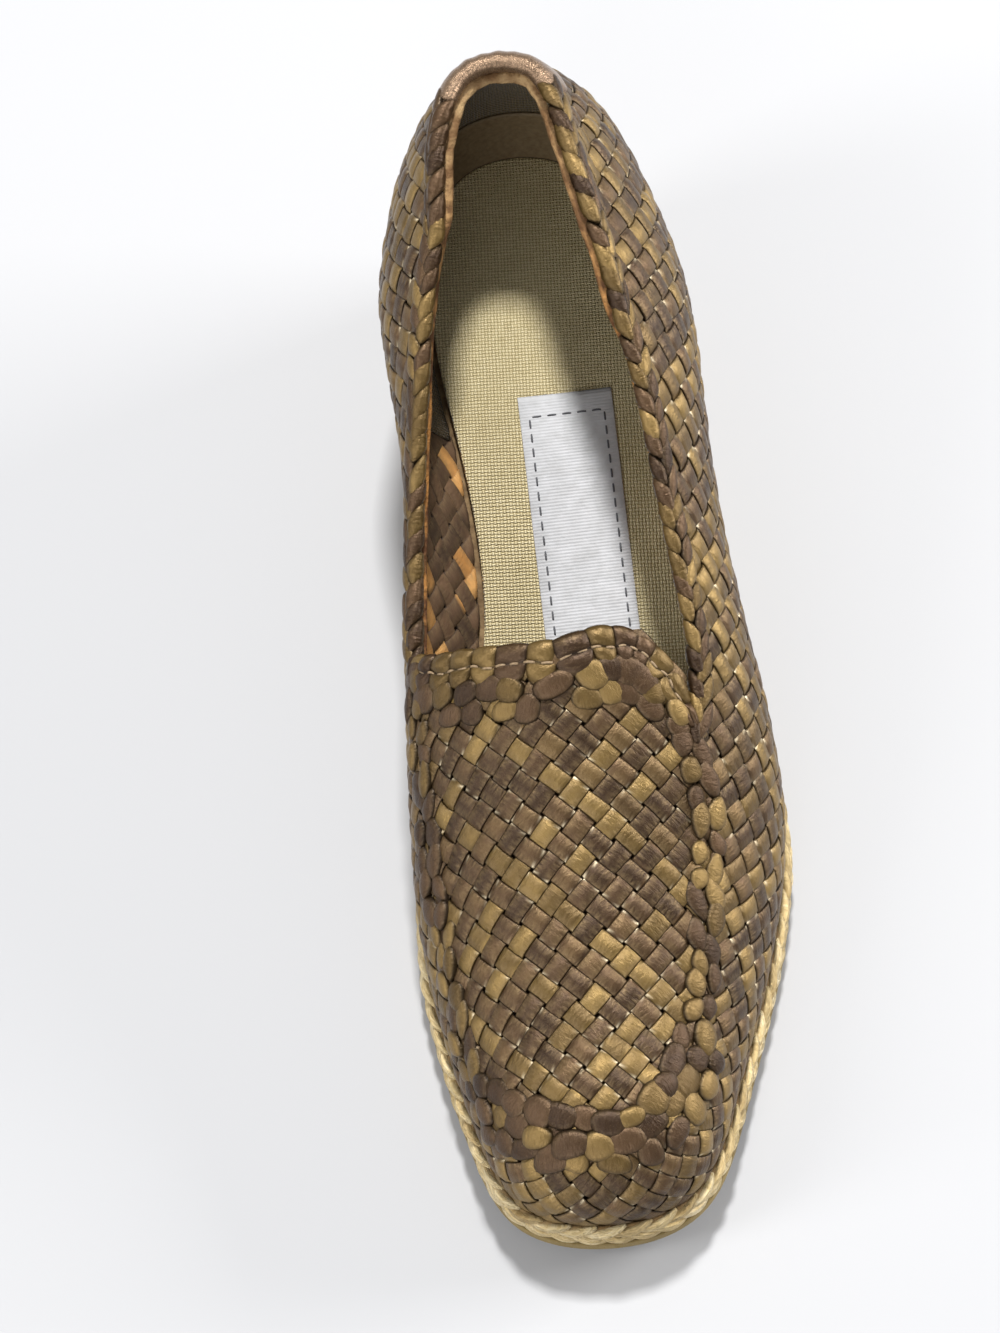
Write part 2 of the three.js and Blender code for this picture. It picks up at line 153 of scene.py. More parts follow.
soft_light("key_light", (0.11, 0.66, 1.77), (0, 0, 0.03), (0.17, 0.17), 43)
soft_light("inner_side_light", (-1.50, -0.32, 1.05), (0, 0, 0.03), (0.45, 1.3), 15)
soft_light("outer_side_light", (1.60, 0.30, 0.65), (0, 0, 0.03), (0.8, 0.6), 31)
soft_light("front_light", (-0.55, -1.50, 0.55), (0, 0, 0.03), (0.9, 0.5), 12)
world = bpy.data.worlds.new("surround")
world.use_nodes = True
world.node_tree.nodes["Background"].inputs["Color"].default_value = (0.93, 0.95, 1.0, 1)
world.node_tree.nodes["Background"].inputs["Strength"].default_value = 0.44
bpy.context.scene.world = world
bpy.context.scene.view_settings.view_transform = "Standard"

# Rubber outsole: a thin ochre-olive crepe sheet, flat from the heel to the ball and lifted at
# the toe, its edge trimmed flush with the jute above and softly rounded.
shoe_length, ball_width = 248, 79     # of the line where upper and sole meet, in millimetres
heel_rise, sole_stack = 34, 12
rubber_thickness, rubber_edge = 3.7, 0.8
braid_height, braid_thickness, clearance = 8, 2.4, 0.3
wedge_taper = 0.12
spring_start = 0.8
rubber_colours = [(0.17, 0.12, 0.04), (0.27, 0.195, 0.075)]

# Sole edge, as shares: one row for each point, along and across, from the heel round the outer side
SOLE_EDGE = np.array([
    (0.000, 0.000), (0.030, 0.224), (0.124, 0.305), (0.255, 0.348), (0.407, 0.385),
    (0.530, 0.467), (0.650, 0.527), (0.772, 0.450), (0.885, 0.316), (0.975, 0.172),
    (1.000, -0.065), (0.978, -0.296), (0.906, -0.403), (0.796, -0.475), (0.691, -0.486),
    (0.581, -0.402), (0.458, -0.272), (0.311, -0.270), (0.164, -0.314), (0.039, -0.230)])
# Height of the foot's seat at each tenth of the length, as shares of the heel rise
SEAT_RISE = [1.03, 0.96, 0.90, 0.78, 0.55, 0.31, 0.12, 0.01, 0.00, 0.07, 0.21]
toe_point, point_count = 10, len(SOLE_EDGE)


def spline_through(values, closed):
    """A uniform cubic spline through a row of values, read at 0, 1, 2 and so on."""
    values = np.asarray(values, float)
    count = len(values)

    def with_ends(row):
        if closed:
            return np.concatenate([row[-1:], row, row[:2]])
        return np.concatenate([[2 * row[0] - row[1]], row, [2 * row[-1] - row[-2]]])

    controls = values.copy()
    for _ in range(60):
        row = with_ends(controls)[:count + 2]
        controls = controls + values - (row[:-2] + 4 * row[1:-1] + row[2:]) / 6
    row = with_ends(controls)

    def read(place):
        place = np.mod(place, count) if closed else np.asarray(place, float)
        i = np.clip(np.floor(place).astype(int), 0, count - 1 if closed else count - 2)
        f = place - i
        weights = ((1 - f) ** 3, 3 * f**3 - 6 * f**2 + 4, 1 + 3 * f + 3 * f**2 - 3 * f**3, f**3)
        return sum(weight * row[i + k] for k, weight in enumerate(weights)) / 6
    return read


edge_along = spline_through(SOLE_EDGE[:, 0], True)
edge_across = spline_through(SOLE_EDGE[:, 1], True)
seat_share = spline_through(SEAT_RISE, False)


def sole_line(u):
    return np.stack([edge_across(u) * ball_width, edge_along(u) * shoe_length], -1)


def sole_edge(u, offset=0.0):
    """Places (x, y) on the sole edge moved outwards. x is outwards and y runs from the heel to the toe."""
    step = 0.01
    ahead = sole_line(np.add(u, step)) - sole_line(np.subtract(u, step))
    ahead = ahead / np.linalg.norm(ahead, axis=-1, keepdims=True)
    out = np.stack([ahead[..., 1], -ahead[..., 0]], -1)
    return sole_line(u) + out * np.expand_dims(np.broadcast_to(offset, np.shape(u)), -1)


def seat_height(y):
    return sole_stack + heel_rise * seat_share(np.clip(y / shoe_length, 0, 1) * (len(SEAT_RISE) - 1))


def ground_height(y):
    return np.where(y > spring_start * shoe_length, np.maximum(0, seat_height(y) - sole_stack), 0)


def lengths_along(line):
    """How far along a line each of its points lies."""
    return np.concatenate([[0], np.cumsum(np.linalg.norm(np.diff(line, axis=0), axis=1))])


fine_places = np.linspace(0, point_count, 4001)
fine_lengths = lengths_along(sole_line(fine_places))
edge_length = fine_lengths[-1]


def run_to(place):
    """How far round the sole edge a place lies."""
    return np.interp(place, fine_places, fine_lengths)


def place_after(run):
    """The place that a length round the sole edge leads to."""
    return np.interp(np.mod(run, edge_length), fine_lengths, fine_places)


def even_places(count):
    """Places at even steps round the sole edge."""
    return place_after(np.arange(count) / count * edge_length)


def paired_places(half):
    """Places round the sole edge, each one on the inner side facing one on the outer side."""
    outer = place_after(np.linspace(0, run_to(toe_point), half + 1))
    inner = np.linspace(point_count, toe_point, 2001)
    facing = np.interp(edge_along(outer[1:-1]), edge_along(inner), inner)
    return np.concatenate([outer, facing[::-1]])


braid_face = clearance + braid_thickness
braid_loop = sole_edge(even_places(2000), braid_face)
braid_low, braid_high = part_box("foxing_braid")
middle_x = (braid_loop[:, 0].max() + braid_loop[:, 0].min()) / 2 - 500 * (braid_low.x + braid_high.x)
heel_back = 1000 * braid_high.y - braid_face


def in_row(points):
    """Points of the shoe's own places, in millimetres, as points of the frame, in metres."""
    x, y, z = np.moveaxis(np.asarray(points, float), -1, 0)
    return np.stack([x - middle_x, heel_back - y, z], -1) / 1000


class Pieces:
    """Gathers tubes, each a row of closed rings of points, into one mesh with closed ends."""

    def __init__(self):
        self.points, self.faces, self.values, self.count = [], [], {}, 0

    def add(self, rings, looped=False, ladder=False, **values):
        rings = np.asarray(rings, float)
        ways, around = rings.shape[:2]
        points = in_row(rings.reshape(-1, 3))
        i = np.arange(ways if looped else ways - 1)[:, None]
        k = np.arange(around)[None]
        ahead, beside = (i + 1) % ways, (k + 1) % around
        corners = (i * around + k, i * around + beside, ahead * around + beside, ahead * around + k)
        quads = np.stack([np.broadcast_to(c, (len(i), around)) for c in corners], -1).reshape(-1, 4)
        p = points[quads] - points.mean(0)
        volume = (np.cross(p[:, 0], p[:, 1]) * p[:, 2]).sum() + (np.cross(p[:, 0], p[:, 2]) * p[:, 3]).sum()
        faces = quads.tolist()
        if ladder:
            for n in range(around // 2):
                rung = [n, n + 1, (around - n - 1) % around, (around - n) % around]
                rung = [c for j, c in enumerate(rung) if c not in rung[:j]]
                faces += [rung[::-1], [len(points) - around + c for c in rung]]
        elif not looped:
            faces += [list(range(around))[::-1], [len(points) - around + n for n in range(around)]]
        if volume < 0:
            faces = [face[::-1] for face in faces]
        self.faces += [[n + self.count for n in face] for face in faces]
        self.points.append(points)
        for name, value in values.items():
            value = np.asarray(value, float)
            shape = (ways, around, 3) if value.shape[-1:] == (3,) and value.ndim == 3 else (ways, around)
            value = np.broadcast_to(value, shape).reshape((len(points),) + shape[2:])
            self.values.setdefault(name, []).append(value)
        self.count += len(points)

    def build(self, name, material, slot):
        mesh = bpy.data.meshes.new(name)
        mesh.from_pydata(np.concatenate(self.points).tolist(), [], self.faces)
        mesh.shade_smooth()
        for title, parts in self.values.items():
            values = np.concatenate(parts)
            kind = "FLOAT_VECTOR" if values.ndim == 2 else "FLOAT"
            field = mesh.attributes.new(title, kind, "POINT")
            field.data.foreach_set("vector" if values.ndim == 2 else "value", values.ravel())
        mesh.materials.append(material)
        piece = bpy.data.objects.new(name, mesh)
        bpy.context.scene.collection.objects.link(piece)
        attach(piece, "root")
        return piece


def loop_at(places, offset, height):
    """A closed ring round the shoe. Offset and height are numbers or functions of y."""
    y = sole_line(places)[:, 1]
    edge = sole_edge(places, offset(y) if callable(offset) else offset)
    z = height(edge[:, 1]) if callable(height) else height
    return np.column_stack([edge, np.broadcast_to(z, len(edge))])


def braid_foot(y):
    return seat_height(y) - braid_height


def rubber_top(y):
    return ground_height(y) + rubber_thickness


def tapered(y, height):
    return braid_face - wedge_taper * np.maximum(0, braid_foot(y) - height)


def shrunk(ring, share):
    """The same ring drawn in towards its middle line, to close a flat piece."""
    mirror = ring[(-np.arange(len(ring))) % len(ring)]
    return ring + (mirror - ring) * (1 - share) / 2


def flat_piece(loops, margins=(0.97, 0.5)):
    """Closed rings for a piece that lies flat: the given loops, drawn in below and above."""
    bottom = [shrunk(loops[0], share) for share in margins[::-1]]
    top = [shrunk(loops[-1], share) for share in margins]
    return np.array(bottom + list(loops) + top)


rubber = Finish("crepe_rubber")
blotch = rubber.noise(rubber.place, 60, 3)
fine_pits = rubber.noise(rubber.place, 900, 4, 0.7)
rubber_colour = rubber.mix(rubber.spread(blotch, 0.3, 0.7), *rubber_colours)
rubber_gloss = rubber.spread(fine_pits, 0.3, 0.7, 0.62, 0.8)
rubber_relief = rubber.bump(fine_pits, 0.0006)
rubber_material = rubber.finish(rubber_colour, rubber_gloss, rubber_relief, Specular_IOR_Level=0.35)

pairs = paired_places(210)


def quarter_round(radius, rounds=5):
    """Steps round an edge: how far from the face where it begins and from the one where it ends."""
    turns = [math.pi / 2 * step / rounds for step in range(rounds + 1)]
    return [(radius * (1 - math.cos(turn)), radius * (1 - math.sin(turn))) for turn in turns]


outsole_loops = []
for lift, inset in quarter_round(rubber_edge):
    outsole_loops.append(loop_at(
        pairs, lambda y: tapered(y, rubber_top(y)) - inset, lambda y: ground_height(y) + lift))
for inset, drop in quarter_round(rubber_edge / 2):
    outsole_loops.append(loop_at(
        pairs, lambda y: tapered(y, rubber_top(y)) - inset, lambda y: rubber_top(y) - drop))
outsole = Pieces()
outsole.add(flat_piece(outsole_loops), ladder=True)
outsole_piece = outsole.build("rubber_outsole", rubber_material, "rubber")
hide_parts("outsole")

# Jute wedge: a light core with natural jute rope of three strands wound round its side in level
# rows, each glued to the next. Towards the ball the rows run out one by one under the plait.
rope_pitch = 5.2
rope_strands, rope_lay = 3, 17.0      # the strands turn once in this length
rope_flute = 0.30
rope_play = 0.1
jute_colours = [(0.30, 0.20, 0.08), (0.58, 0.43, 0.21), (0.76, 0.62, 0.38)]


def jute_finish(name, shades, fibre=1.0):
    """Dry plant fibre: pale straw with golden and grey streaks that run along each strand."""
    jute = Finish(name)
    tone, _ = jute.value_of("tone")
    _, grain = jute.value_of("grain")
    streaks = jute.noise(jute.stretched(grain, (0.25, 2.4, 1.0)), 2.2 * fibre, 4, 0.65)
    hairs = jute.noise(jute.stretched(grain, (0.6, 9.0, 1.0)), 1.6 * fibre, 3, 0.6)
    shade = jute.math("ADD", jute.math("MULTIPLY", streaks, 0.75), jute.math("MULTIPLY", tone, 0.45))
    low = jute.mix(jute.spread(shade, 0.30, 0.58), shades[0], shades[1])
    colour = jute.mix(jute.spread(shade, 0.55, 0.85), low, shades[2])
    dirt = jute.spread(jute.noise(jute.place, 45, 3), 0.35, 0.75)
    colour = jute.mix(jute.math("MULTIPLY", dirt, 0.35), colour, (0.36, 0.27, 0.13))
    relief = jute.bump(hairs, 0.00035, jute.bump(streaks, 0.0005))
    return jute.finish(colour, 0.82, relief, Specular_IOR_Level=0.25, Sheen_Weight=0.15, Sheen_Roughness=0.5)


rope_material = jute_finish("natural_jute_rope", jute_colours)


def rope_seat(y):
    return braid_foot(y) - rope_play


def grain_at(along, across, own):
    """Where points lie in a piece's grain: along it, across it, and apart from other pieces."""
    return np.stack(np.broadcast_arrays(along, across, own), -1)


rope_rows = Pieces()
row_radius = rope_pitch / 2
row_count = math.ceil((seat_height(0) - braid_height - rubber_thickness) / rope_pitch)
ring_turns = np.linspace(0, 2 * math.pi, 15, endpoint=False)
for row in range(row_count):
    foot = rubber_thickness + rope_play + row * rope_pitch
    places = even_places(560)
    line = sole_line(places)
    room = rope_seat(line[:, 1]) - foot
    shown = room > 0.6
    looped = bool(shown.all())
    if not looped:
        first = int(np.argmin(shown)) + 1
        order = (np.arange(len(places)) + first) % len(places)
        places = places[order][shown[order]]
        line, room = sole_line(places), rope_seat(sole_line(places)[:, 1]) - foot
    run = run_to(places)[:, None]
    lay = 2 * math.pi * run / rope_lay
    lobe = np.abs(np.cos(rope_strands / 2 * (ring_turns - lay) + row))
    radius = row_radius * (1 - rope_flute + rope_flute * lobe**0.7) * 1.04
    rise = np.clip(room / rope_pitch, 0.12, 1)[:, None]
    height = foot + (row_radius + radius * np.sin(ring_turns)) * rise
    face = tapered(line[:, 1], foot + row_radius)[:, None]
    offset = face - row_radius * (2 - np.minimum(1, rise * 1.4)) + radius * np.cos(ring_turns)
    centre = sole_edge(places)
    beyond = sole_edge(places, 1.0) - centre
    rings = np.empty((len(places), len(ring_turns), 3))
    rings[..., :2] = centre[:, None] + beyond[:, None] * offset[..., None]
    rings[..., 2] = height
    strand = np.floor((ring_turns - lay) * rope_strands / (2 * math.pi)) % rope_strands
    grain = grain_at(run, ring_turns * row_radius + run * 0.6, strand * 7 + row * 31)
    rope_rows.add(rings, looped, tone=0.35 + 0.3 * np.sin(run / 23 + 2.1 * row) ** 2, grain=grain)
rope_rows.build("jute_rope_rows", rope_material, "jute_rope")

core_inset, shoulder_inset, seat_inset = 3.2, 0.6, 0.4


def mottled_finish(name, grain, reach, shades, roughness, depth, shine):
    """A plain material whose two shades and fine relief follow the same noise."""
    mottled = Finish(name)
    noise = mottled.noise(mottled.place, *grain)
    colour = mottled.mix(mottled.spread(noise, *reach), *shades)
    return mottled.finish(colour, roughness, mottled.bump(noise, depth), Specular_IOR_Level=shine)


core_material = mottled_finish(
    "pressed_cork_core", (420, 3), (0.35, 0.65), [(0.16, 0.10, 0.05), (0.30, 0.20, 0.10)], 0.9, 0.0004, 0.2)


def core_shoulder(y):
    return np.maximum(rubber_top(y) + 2 * clearance, braid_foot(y) - clearance)


wedge_core = Pieces()
wedge_core.add(flat_piece([
    loop_at(pairs, -core_inset, lambda y: rubber_top(y) + clearance),
    loop_at(pairs, -core_inset, core_shoulder),
    loop_at(pairs, -shoulder_inset, lambda y: core_shoulder(y) + clearance),
    loop_at(pairs, -seat_inset, seat_height)]), ladder=True)
core_piece = wedge_core.build("wedge_core", core_material, "jute_rope")
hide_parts("jute_wedge")

# Linen insole: a soft board covered with olive-beige canvas, its edge turned under, laid on the
# seat inside the upper.
insole_thickness, insole_edge, insole_play = 3, 0.6, 0.4
upper_wall = 1.6
insole_gap = upper_wall + 2 * clearance + insole_play
yarn_pitch = 0.75                     # of the canvas, in millimetres
linen_colours = [(0.33, 0.26, 0.115), (0.70, 0.58, 0.32), (0.90, 0.80, 0.54)]


def insole_foot(y):
    return seat_height(y) + clearance


def insole_top(y):
    return insole_foot(y) + insole_thickness


def canvas_finish(name, shades, pitch, slant=0.0, laid_out=None):
    """Plain-woven canvas: two sets of round yarns over and under each other, in plan or as laid out."""
    canvas = Finish(name)
    flat_place = canvas.place if laid_out is None else canvas.value_of(laid_out)[1]
    turned = canvas.node("VectorRotate", {"Vector": flat_place, "Angle": slant}, rotation_type="Z_AXIS")
    wavy = canvas.node("TexNoise", {"Vector": canvas.place, "Scale": 160.0, "Detail": 2.0}).outputs["Color"]
    shift = canvas.stretched(wavy, (0.0004, 0.0004, 0))
    place = canvas.node("VectorMath", {0: turned.outputs[0], 1: shift}, operation="ADD").outputs[0]
    parts = canvas.node("SeparateXYZ", {0: place})
    per_metre = math.pi * 1000 / pitch
    across = canvas.math("SINE", canvas.math("MULTIPLY", parts.outputs[0], per_metre))
    along = canvas.math("SINE", canvas.math("MULTIPLY", parts.outputs[1], per_metre))
    over = canvas.math("MULTIPLY", across, along)
    warp = canvas.math("MULTIPLY", canvas.math("ABSOLUTE", across), canvas.spread(over, -0.6, 0.6, 0.25, 1))
    weft = canvas.math("MULTIPLY", canvas.math("ABSOLUTE", along), canvas.spread(over, -0.6, 0.6, 1, 0.25))
    height = canvas.math("MAXIMUM", warp, weft)
    slubs = canvas.noise(canvas.stretched(place, (300, 1500, 400)), 1.0, 3)
    cross_slubs = canvas.noise(canvas.stretched(place, (1500, 300, 400)), 1.0, 3)
    slub = canvas.mix(canvas.spread(over, -0.2, 0.2), slubs, cross_slubs)
    # Where the yarns dip between each other the colour darkens: painted shade, added to the slubs' own tone.
    shade = canvas.math("ADD", canvas.math("MULTIPLY", height, 0.55), canvas.math("MULTIPLY", slub, 0.55))
    low = canvas.mix(canvas.spread(shade, 0.25, 0.65), shades[0], shades[1])
    colour = canvas.mix(canvas.spread(shade, 0.6, 0.95), low, shades[2])
    soil = canvas.spread(canvas.noise(canvas.place, 28, 3), 0.4, 0.8, 0, 0.3)
    colour = canvas.mix(soil, colour, shades[0])
    relief = canvas.bump(height, 0.00045)
    return canvas.finish(colour, 0.85, relief, Specular_IOR_Level=0.2, Sheen_Weight=0.2, Sheen_Roughness=0.4)


linen_material = canvas_finish("olive_linen_canvas", linen_colours, yarn_pitch, math.radians(4))
insole_loops = [loop_at(pairs, -insole_gap, insole_foot)]
for inset, drop in quarter_round(insole_edge):
    insole_loops.append(loop_at(pairs, -insole_gap - inset, lambda y: insole_top(y) - drop))
insole = Pieces()
insole.add(flat_piece(insole_loops), ladder=True)
insole_piece = insole.build("linen_insole", linen_material, "linen")
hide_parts("insole")

# Label: a plain white woven tape with turned-in edges, laid on the insole under the arch and
# sewn down all round with a dashed running stitch. Its front end lies under the vamp.
label_width, label_length, label_thickness = 21.4, 78, 0.5
label_start, label_centre = 62.1, 5.7
stitch_margin, back_hem, stitch_length, stitch_gap, stitch_radius = 2.2, 4.8, 2.0, 1.3, 0.22

tape = Finish("white_woven_tape")
tape_along = tape.node("SeparateXYZ", {0: tape.place}).outputs[1]
tape_ribs = tape.math("SINE", tape.math("MULTIPLY", tape_along, 9000))
tape_haze = tape.noise(tape.place, 300, 4)
tape_colour = tape.mix(tape.spread(tape_haze, 0.3, 0.75), (0.62, 0.62, 0.63), (0.50, 0.50, 0.50))
tape_relief = tape.bump(tape_haze, 0.0003, tape.bump(tape_ribs, 0.00003))
tape_material = tape.finish(tape_colour, 0.9, tape_relief, Specular_IOR_Level=0.15)

label_ring = [
    (-1, 0), (-1, 0.6), (-0.985, 1), (-0.5, 1), (0, 1), (0.5, 1), (0.985, 1), (1, 0.6), (1, 0), (0, 0)]
rings = []
for row in np.linspace(0, label_length, 60):
    y = label_start + row
    base = float(insole_top(y)) + clearance / 3
    curl = 0.25 * math.exp(-row / 2)
    rings.append([(label_centre + side * label_width / 2, y, base + lift * label_thickness + curl * abs(side))
                  for side, lift in label_ring])
label = Pieces()
label.add(rings)
label_piece = label.build("white_label_tape", tape_material, "white_tape")
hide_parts("insole_label")


def thread_dash(start, end, radius, sag=0.5):
    """Rings of one stitch: a short round thread between two points, its ends dipping into the cloth."""
    start, end = np.array(start, float), np.array(end, float)
    way = (end - start) / np.linalg.norm(end - start)
    side = np.cross(way, (0, 0, 1))
    side /= np.linalg.norm(side)
    up = np.cross(side, way)
    turns = np.linspace(0, 2 * math.pi, 6, endpoint=False)
    rings = []
    for share in np.linspace(0, 1, 5):
        centre = start + (end - start) * share - up * radius * sag * 4 * (share - 0.5) ** 2 * 2
        rings.append([centre + radius * (side * math.cos(a) + up * math.sin(a)) for a in turns])
    return rings


thread_material = mottled_finish(
    "grey_thread", (2500, 2), (0, 1), [(0.06, 0.06, 0.065), (0.16, 0.16, 0.17)], 0.7, 0.0001, 0.3)
label_stitches = Pieces()
left = label_centre - label_width / 2 + stitch_margin
right = label_centre + label_width / 2 - stitch_margin
front = label_start + label_length - stitch_margin
back = label_start + back_hem
stitch_path = [(left, front), (left, back), (right, back), (right, front)]
for (x0, y0), (x1, y1) in zip(stitch_path, stitch_path[1:]):
    dashes = round(math.hypot(x1 - x0, y1 - y0) / (stitch_length + stitch_gap))
    half_dash = stitch_length / (stitch_length + stitch_gap) / 2
    for k in range(dashes):
        ends = []
        for share in ((k + 0.5 - half_dash) / dashes, (k + 0.5 + half_dash) / dashes):
            x, y = x0 + (x1 - x0) * share, y0 + (y1 - y0) * share
            ends.append((x, y, insole_top(y) + clearance / 3 + label_thickness + stitch_radius * 0.6))
        label_stitches.add(thread_dash(*ends, stitch_radius))
label_stitches.build("label_stitches", thread_material, "white_tape")

# Upper, its dark backing: the last's whole surface as a thin suede layer that holds the woven
# strips. It is the wall of the quarters and, inside the pebbled seam, the vamp's top.
instep_height, back_height, side_bulge, bulge_reach = 57, 62, 14, 55
rib_squareness, rib_fullness = 2.2, 1.9
spine_start, spine_end = 0.12, 0.86
backing_out, backing_in = -0.95, -1.15

# Throat edge, as shares of the length, from the notch beside the quarter up to the vamp's ridge
OUTER_THROAT = [0.613, 0.608, 0.592, 0.571, 0.558, 0.549, 0.5435, 0.543, 0.546, 0.551]
INNER_THROAT = [0.514, 0.515, 0.5175, 0.522, 0.528, 0.533, 0.539, 0.545, 0.550, 0.551]
outer_notch, inner_notch = OUTER_THROAT[0], INNER_THROAT[0]
# Sections at each tenth of the length: the ridge's height as a share of the instep, its place
# across the ball, the outer and inner toplines as shares of the back height, and the two bulges
SECTIONS = np.array([
    (1.39, -0.058, 1.04, 1.04, 0.17, 0.17), (1.38, -0.057, 1.07, 1.02, 0.46, 0.36),
    (1.41, -0.050, 1.01, 0.87, 0.69, 0.68), (1.39, -0.044, 0.88, 0.70, 0.62, 0.80),
    (1.25, -0.046, 0.80, 0.57, 0.55, 0.99), (1.08, -0.044, 0.74, 0.53, 0.46, 0.97),
    (0.91, -0.041, 0.67, 0.53, 0.28, 0.53), (0.74, -0.043, 0.62, 0.54, 0.10, 0.21),
    (0.60, -0.049, 0.60, 0.56, 0.05, 0.06), (0.48, -0.058, 0.60, 0.57, 0.05, 0.05),
    (0.41, -0.059, 0.60, 0.57, 0.05, 0.05)])
section_splines = [spline_through(column, False) for column in SECTIONS.T]
ridge_share, ridge_shift, topline_out, topline_in, bulge_out, bulge_in = (
    lambda share, spline=spline: spline(np.clip(share, 0, 1) * (len(SECTIONS) - 1))
    for spline in section_splines)


def rib_at(u):
    """A rib of the last: from the sole edge at u up to the ridge."""
    foot = sole_line(u)
    share = foot[..., 1] / shoe_length
    spine = np.clip(share, spine_start, spine_end)
    base = seat_height(foot[..., 1]) + clearance
    height = seat_height(spine * shoe_length) + ridge_share(spine) * instep_height - base
    reach = np.stack([ridge_shift(spine) * ball_width, spine * shoe_length], -1) - foot
    inward = reach / np.linalg.norm(reach, axis=-1, keepdims=True)
    blend = np.clip((share - 0.3) / 0.4, 0, 1)
    outer = np.mod(u, point_count) <= toe_point
    swell = np.where(outer, bulge_out(share), bulge_in(share)) * side_bulge
    return {
        "foot": foot, "share": share, "base": base, "height": height, "reach": reach, "inward": inward,
        "square": 2 + (rib_squareness - 2) * blend, "full": 2 + (rib_fullness - 2) * blend, "swell": swell,
        "swell_height": np.minimum(bulge_reach, 0.95 * height), "outer": outer}


def last_point(u, v):
    """A place on the last, v going from 0 at the sole edge to 1 at the ridge."""
    rib = rib_at(u)
    angle = np.asarray(v) * math.pi / 2
    inwards = 1 - np.maximum(0, np.cos(angle)) ** (2 / rib["square"])
    up = np.maximum(0, np.sin(angle)) ** (2 / rib["full"])
    s = np.clip(up * rib["height"] / rib["swell_height"], 0, 1)
    flat = rib["foot"] + rib["reach"] * inwards[..., None]
    flat = flat - rib["inward"] * (4 * rib["swell"] * s * (1 - s))[..., None]
    return np.concatenate([flat, (rib["base"] + rib["height"] * up)[..., None]], -1)


def share_at_height(u, height):
    rib = rib_at(u)
    return np.arcsin(np.clip(height / rib["height"], 0, 1) ** (rib["full"] / 2)) / (math.pi / 2)


def collar_at(u):
    rib = rib_at(u)
    top = np.where(rib["outer"], topline_out(rib["share"]), topline_in(rib["share"])) * back_height
    return share_at_height(u, top)


outer_places = np.linspace(0, toe_point, 2001)
inner_places = np.linspace(point_count, toe_point, 2001)


def place_at(share, outer):
    """The place on one side of the sole edge at a share of the length."""
    to_outer = np.interp(share, edge_along(outer_places), outer_places)
    to_inner = np.interp(share, edge_along(inner_places), inner_places)
    return np.where(outer, to_outer, to_inner)


fan = np.linspace(place_at(spine_end, True), place_at(spine_end, False), 800)
fan_reach = -rib_at(fan)["reach"]
fan_turns = np.arctan2(fan_reach[:, 1], fan_reach[:, 0])


def place_over(x, y):
    """The place (u, v) on the last right above a point of its plan."""
    share = np.clip(y / shoe_length, spine_start, spine_end)
    ridge = np.stack([ridge_shift(share) * ball_width, share * shoe_length], -1)
    away = np.stack([x, y], -1) - ridge
    u = place_at(y / shoe_length, away[..., 0] > 0)
    in_fan = y > spine_end * shoe_length
    u = np.where(in_fan, np.interp(np.arctan2(away[..., 1], away[..., 0]), fan_turns, fan), u)
    distance = np.linalg.norm(away, axis=-1)
    low, high = np.zeros(np.shape(u)), np.ones(np.shape(u))
    for _ in range(24):
        middle = (low + high) / 2
        reached = np.linalg.norm(last_point(u, middle)[..., :2] - ridge, axis=-1)
        low, high = np.where(reached > distance, middle, low), np.where(reached > distance, high, middle)
    return u, (low + high) / 2


class Chart:
    """A stretch of the last laid out flat: its points over even steps of two lengths, s and h."""

    def __init__(self, points, start, step, closed=False):
        self.points, self.closed = points, closed
        self.start, self.step = np.array(start), np.array(step)
        if closed:
            ds = np.roll(points, -1, 0) - np.roll(points, 1, 0)
        else:
            ds = np.gradient(points, axis=0)
        normals = np.cross(ds, np.gradient(points, axis=1))
        size = np.linalg.norm(normals, axis=-1, keepdims=True)
        self.normals = normals / np.maximum(size, 1e-9)

    def at(self, s, h, out=0.0):
        """Points at lengths s and h, raised off the surface."""
        count_s, count_h = self.points.shape[:2]
        i = (s - self.start[0]) / self.step[0]
        k = np.clip((h - self.start[1]) / self.step[1], 0, count_h - 1.001)
        i = np.mod(i, count_s) if self.closed else np.clip(i, 0, count_s - 1.001)
        i0, k0 = np.floor(i).astype(int), np.floor(k).astype(int)
        part_s, part_h = (i - i0)[..., None], (k - k0)[..., None]
        i0, i1 = i0 % count_s, (i0 + 1) % count_s

        def blend(grid):
            low = grid[i0, k0] * (1 - part_s) + grid[i1, k0] * part_s
            high = grid[i0, k0 + 1] * (1 - part_s) + grid[i1, k0 + 1] * part_s
            return low * (1 - part_h) + high * part_h
        return blend(self.points) + blend(self.normals) * np.asarray(out)[..., None]


def read_line(at, lengths, line):
    """Points of a line, read at some lengths along it."""
    return np.stack([np.interp(at, lengths, column) for column in np.transpose(line)], -1)


def evened(line, step):
    """The same line with points at even steps."""
    lengths = lengths_along(line)
    count = max(2, round(lengths[-1] / step) + 1)
    return read_line(np.linspace(0, lengths[-1], count), lengths, line)


# The wall's chart: s runs round the sole edge and h up each rib
wall_columns = 620
wall_step, wall_rise = edge_length / wall_columns, 0.5
wall_places = even_places(wall_columns)
rib_shares = np.linspace(0, 1, 160)
rib_lengths = np.array([lengths_along(rib) for rib in last_point(wall_places[:, None], rib_shares)])
wall_heights = np.arange(0, 95, wall_rise)
wall_shares = np.array([np.interp(wall_heights, lengths, rib_shares) for lengths in rib_lengths])
wall = Chart(last_point(wall_places[:, None], wall_shares), (0, 0), (wall_step, wall_rise), True)

